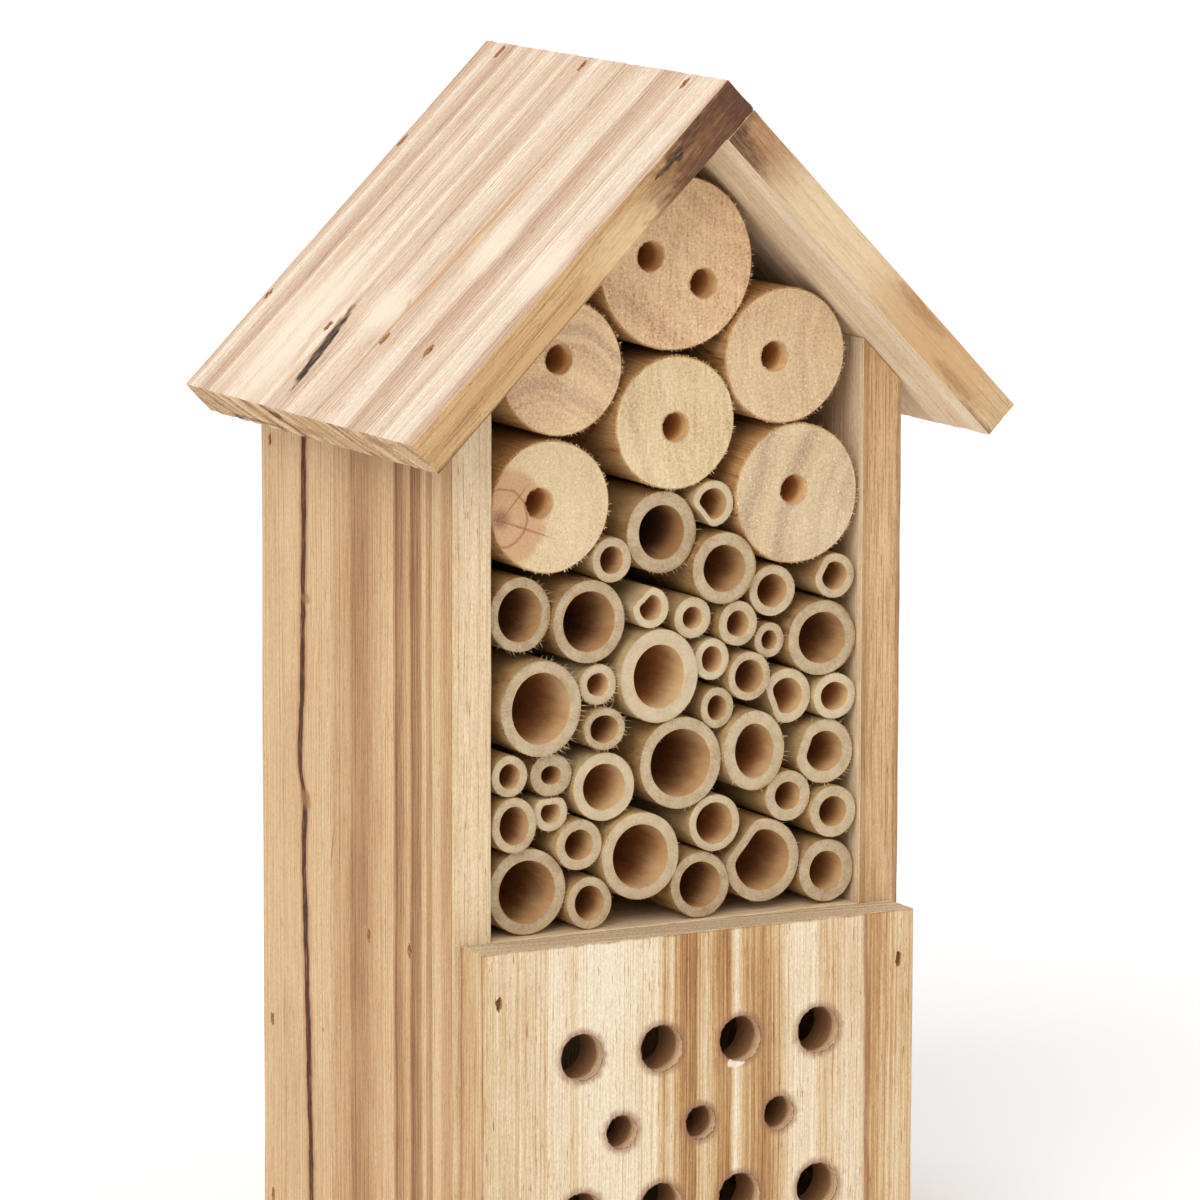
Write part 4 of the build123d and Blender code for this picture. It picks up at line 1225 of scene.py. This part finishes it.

# %% [markdown]
# ## Canes: finish
# A dry cane has a smooth tan skin, darker and orange in places, a pale fibrous cut end and a
# brown pith-lined bore, painted darker further in as painted shade. Two numbers kept on each cane
# make some canes paler and some browner than the rest: its shade, for the skin and the cut end,
# and a shade of its own for the bore.

# %% Cane finishes
def cane_finish(name, colours, scale, relief, rough, mottled=1.3, fibrous=0.7, shaded=0.55,
                shade_name="shade", painted_deep_shade=None):
    """One of the canes' surfaces: mottled along the cane, lighter or darker by its shade, and in the bore
    darkened with depth as painted shade.
    """
    material, tree = new_finish(name)
    place = log_place(tree)
    shade = kept_value(tree, shade_name)
    moved = add_node(tree, "ShaderNodeVectorMath", {0: place, 1: add_node(
        tree, "ShaderNodeCombineXYZ", {0: sums(tree, "MULTIPLY", shade, 91.0), 1: shade,
                                       2: shade}).outputs[0]},
        operation="ADD").outputs[0]
    mottle = clouds(tree, stretched(tree, moved, *scale), 4, 0.6)
    fine = clouds(tree, stretched(tree, moved, 0.45, 2.5, 0.45), 3, 0.7)
    tone = swung(tree, 0.5, mottle, mottled)
    tone = swung(tree, tone, fine, fibrous)
    tone = swung(tree, tone, shade, shaded)
    colour = tones(tree, tone, colours)
    # painted shade: the bore darkens with depth, counted in bore widths, for the shade inside the cane
    if painted_deep_shade:
        width = kept_value(tree, "bore")
        inside = add_node(tree, "ShaderNodeSeparateXYZ", {0: place}).outputs[1]
        inside = sums(tree, "MULTIPLY_ADD", sums(tree, "SUBTRACT", mottle, 0.5), 0.8,
                      sums(tree, "DIVIDE", inside, width))
        colour = mixed(tree, reach_over(tree, inside, 0.15, 1.1), colour, tones(tree, tone, painted_deep_shade))
    finish_surface(tree, colour, sums(tree, "MULTIPLY_ADD", fine, 0.7, mottle), relief, rough)
    return material


cane_skin = cane_finish("cane_skin", [(0.0, linear(210, 188, 146)), (0.35, linear(190, 160, 114)),
                                      (0.7, linear(172, 136, 90)), (1.0, linear(120, 84, 54))],
                        scale=(5, 22, 5), relief=0.12, rough=0.5)
cane_end = cane_finish("cane_end", [(0.0, linear(214, 198, 168)), (0.5, linear(192, 172, 140)),
                                    (1.0, linear(146, 118, 86))],
                       scale=(3, 3, 3), relief=0.35, rough=0.85, mottled=0.7, fibrous=0.8, shaded=0.35)
# painted shade: the bore's colours turn to the darker browns further in
cane_bore = cane_finish("cane_bore", [(0.0, linear(226, 196, 150)), (0.5, linear(204, 166, 118)),
                                      (1.0, linear(176, 130, 84))],
                        scale=(6, 26, 6), relief=0.15, rough=0.8, mottled=1.0, fibrous=0.5,
                        shade_name="bore_shade",
                        painted_deep_shade=[(0.0, linear(214, 162, 108)), (0.5, linear(176, 120, 72)),
                              (1.0, linear(104, 66, 44))])
print("cane finishes are ready")

# %% [markdown]
# ## Canes
# Forty canes, no two alike: round, oval or flattened where a branch grew. Their sections are read
# from the measured model all the way round, so every cane has its true outline and wall. A circle
# is given that outline, drawn out to the back in uneven steps and bridged to its bore, which
# keeps the mesh even. The cut end gets a slight tilt, a furry rim and, on the badly sawn ones,
# splinters.

# %% Cane helpers
# the badly sawn canes, and how frayed each is; the others have the usual fray
usual_fray, splinters_each = 8, 4
frayed = {"bamboo_tube_07": 26, "bamboo_tube_19": 44, "bamboo_tube_20": 30, "bamboo_tube_21": 26,
          "bamboo_tube_25": 26, "bamboo_tube_27": 20, "bamboo_tube_02": 18, "bamboo_tube_24": 22}


def section(node, middle):
    """How far the cane's skin and its bore lie from its middle, as two functions of the angle."""
    skin, bore = [], []
    spots = {(round(v.co.x - middle.x, 7), round(v.co.z - middle.z,
                                                 7)) for v in frame["nodes"][node].data.vertices}
    reach = sorted(math.hypot(x, z) for x, z in spots)
    halfway = (reach[0] + reach[-1]) / 2
    for x, z in spots:
        (skin if math.hypot(x, z) > halfway else bore).append((math.atan2(z, x), math.hypot(x, z)))

    def at(points, angle):
        points = sorted(points)
        first, last = points[0], points[-1]
        points = [(last[0] - 2 * math.pi, last[1])] + points + [(first[0] + 2 * math.pi, first[1])]
        for (a, ra), (b, rb) in zip(points, points[1:]):
            if a <= angle <= b:
                start, end = Vector((math.cos(a), math.sin(a))) * ra, Vector((math.cos(b), math.sin(b))) * rb
                share = (angle - a) / max(b - a, 1e-9)
                return (start.lerp(end, share)).length
        return points[0][1]
    return (lambda angle: at(skin, angle)), (lambda angle: at(bore, angle))


def cane(node, seed):
    """One hollow cane, its front end at the front of its box."""
    low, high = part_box(node)
    middle = (low + high) / 2
    skin_at, bore_at = section(node, middle)
    dice = random.Random(node)
    count = 40 if high.x - low.x < 13 * MM else 56
    tilt_x, tilt_z = dice.uniform(-0.03, 0.03), dice.uniform(-0.03, 0.03)
    bm = bmesh.new()
    loops = []
    for outline in (skin_at, bore_at):
        verts = bmesh.ops.create_circle(bm, segments=count, radius=1)["verts"]
        for vert in verts:
            angle = math.atan2(vert.co.y, vert.co.x)
            radius = outline(angle)
            vert.co = Vector((middle.x + radius * math.cos(angle), low.y,
                              middle.z + radius * math.sin(angle)))
        loops.append(list({edge for vert in verts for edge in vert.link_edges}))
    ring = bmesh.ops.bridge_loops(bm, edges=loops[0] + loops[1])["faces"]
    spokes = [edge for edge in {e for face in ring for e in face.edges} if edge not in loops[0] + loops[1]]
    bmesh.ops.subdivide_edges(bm, edges=spokes, cuts=2, use_grid_fill=True)
    for face in bm.faces:
        face.material_index = 1
    for slot, loop in ((0, loops[0]), (2, loops[1])):
        before = set(bm.faces)
        pulled = bmesh.ops.extrude_edge_only(bm, edges=loop)["geom"]
        verts = [part for part in pulled if isinstance(part, bmesh.types.BMVert)]
        bmesh.ops.translate(bm, vec=(0, high.y - low.y, 0), verts=verts)
        for face in set(bm.faces) - before:
            face.material_index = slot
    back_edges = [edge for edge in bm.edges if edge.is_boundary]
    bmesh.ops.bridge_loops(bm, edges=back_edges)
    for cut in (0.25, 0.8, 2, 4.5, 9, 18, 36, 60):
        sliced_through(bm, (0, low.y + cut * MM, 0), backwards)
    wall = skin_at(0) - bore_at(0)
    rims = []
    for vert in bm.verts:
        x, z, inside = vert.co.x - middle.x, vert.co.z - middle.z, (vert.co.y - low.y) / MM
        angle, radius = math.atan2(z, x), math.hypot(x, z)
        out = (radius - bore_at(angle)) / wall
        fur = noise.noise(Vector((9 * math.cos(angle), 9 * math.sin(angle), seed + inside)))
        swell = noise.noise(Vector((1.1 * math.cos(angle), 1.1 * math.sin(angle), seed + inside / 30)))
        worn = max(0.0, 1 - inside / 0.3) * (0.14 if out > 0.8 else -0.12 if out < 0.2 else 0.0)
        change = (0.12 * (swell - 0.3) + 0.05 * fur - worn) * MM
        scale = 1 + change / radius
        vert.co.x, vert.co.z = middle.x + x * scale, middle.z + z * scale
        if inside < 0.01:
            lift = abs(tilt_x * x) + tilt_x * x + abs(tilt_z * z) + tilt_z * z
            vert.co.y += lift + (0.1 + 0.1 * fur) * MM * (1 if 0.2 < out < 0.8 else 1.8)
            rims.append((vert.co.copy(), angle, out))
    for number in range(splinters_each * frayed.get(node, usual_fray)):
        inner_too = number % 6 == 0
        root, angle, out = dice.choice([rim for rim in rims if rim[2] > 0.8 or (rim[2] < 0.2 and inner_too)])
        outwards = 1 if out > 0.5 else -1
        direction = Vector((math.cos(angle) * outwards * dice.uniform(-0.2, 0.9), -dice.uniform(0.2, 1.0),
                            math.sin(angle) * outwards * dice.uniform(-0.2, 0.9))).normalized()
        long = (2.4 if node in frayed else 1.0) if out > 0.5 else 0.6
        splinter(bm, root, direction, dice.uniform(0.3, long) * MM, dice.uniform(0.05, 0.11) * MM, 1)
    return bm, Vector((middle.x, low.y, middle.z)), dice.random(), (bore_at(0) + bore_at(math.pi - 0.01)) / MM


# %% Make the canes
# the shade of the bores that differ from their cane: 0 is pale and 1 brown
known_bores = {"02": 1.5, "08": 1.0, "34": 0.5, "19": 0.4, "40": 0.35, "01": 0.45}
tube_nodes = sorted(name for name in frame["nodes"] if name.startswith("bamboo_tube"))
for count, node in enumerate(tube_nodes):
    bm, front_middle, shade_value, bore_width = cane(node, count * 3.1)
    piece = new_piece(node.replace("bamboo_tube", "cane"), bm, [cane_skin, cane_end, cane_bore])
    own_place(piece, front_middle)
    for name, value in (("shade", shade_value), ("bore", bore_width),
                        ("bore_shade", known_bores.get(node[-2:], shade_value))):
        keep_number(piece, name, lambda co: value)
    settle_piece(piece, node, sharp=50)
print("canes:", len(tube_nodes))

# %% [markdown]
# ## Metal parts
# The brads are dull, slightly rusty steel. The hanger on the back is a zinc-plated strip with a
# round hole, let in flush and held by two small screws. All of them keep their measured shapes.

# %% Metal finishes
def metal(name, light, dark, scale, rough):
    """Dull metal, blotched between two colours."""
    material = surface_material(name, (light, dark), scale, relief=0.03, rough=rough)
    material.node_tree.nodes["Principled BSDF"].inputs["Metallic"].default_value = 0.85
    return material


brad_steel = metal("brad_steel", linear(158, 112, 78), linear(96, 62, 42), scale=0.8, rough=0.6)
zinc = metal("zinc_plate", linear(196, 198, 200), linear(160, 162, 164), scale=4.0, rough=0.35)
for finish, nodes in ((brad_steel, ("roof_brads", "body_brads", "panel_brads")),
                      (zinc, ("hanger_plate", "hanger_screws"))):
    for node in nodes:
        frame["nodes"][node].data.materials.clear()
        frame["nodes"][node].data.materials.append(finish)
print("metal finishes are on the brads, the hanger and its screws")

# %% [markdown]
# ## Floor and light
# The house stands on a plain white floor, under broad white daylight from everywhere. Two large
# soft lamps stand far away on the left and in front. The stronger one is high up and gives the
# right-hand walls of the bores their light and the roof its brightness. The weaker one is low and
# lights the faces that the roof shades.

# %% Floor and light
floor_bm = bmesh.new()
bmesh.ops.create_grid(floor_bm, x_segments=1, y_segments=1, size=30)
floor = new_piece("floor", floor_bm, [])
floor_paint = surface_material("floor_paint", (linear(255, 255, 255), linear(253, 253, 253)), scale=400,
                               relief=0.0, rough=0.9)
floor.data.materials.append(floor_paint)
sky = bpy.data.worlds.new("sky")
sky.use_nodes = True
sky.node_tree.nodes["Background"].inputs["Color"].default_value = (1.0, 1.0, 1.0, 1)
sky.node_tree.nodes["Background"].inputs["Strength"].default_value = 0.86
bpy.context.scene.world = sky
lamp_spread = math.radians(40)
for name, strength, direction in (("key_lamp", 1.3, (0.66, 0.60, -0.60)),
                                  ("fill_lamp", 0.3, (0.82, 0.55, -0.08))):
    lamp_data = bpy.data.lights.new(name, "SUN")
    lamp_data.energy, lamp_data.angle = strength, lamp_spread
    lamp_data.color = (1.0, 0.98, 0.95)
    lamp = bpy.data.objects.new(name, lamp_data)
    lamp.rotation_euler = Vector(direction).to_track_quat("-Z", "Y").to_euler()
    bpy.context.collection.objects.link(lamp)
bpy.context.scene.view_settings.view_transform = "Standard"
print("floor, sky and two soft lamps")
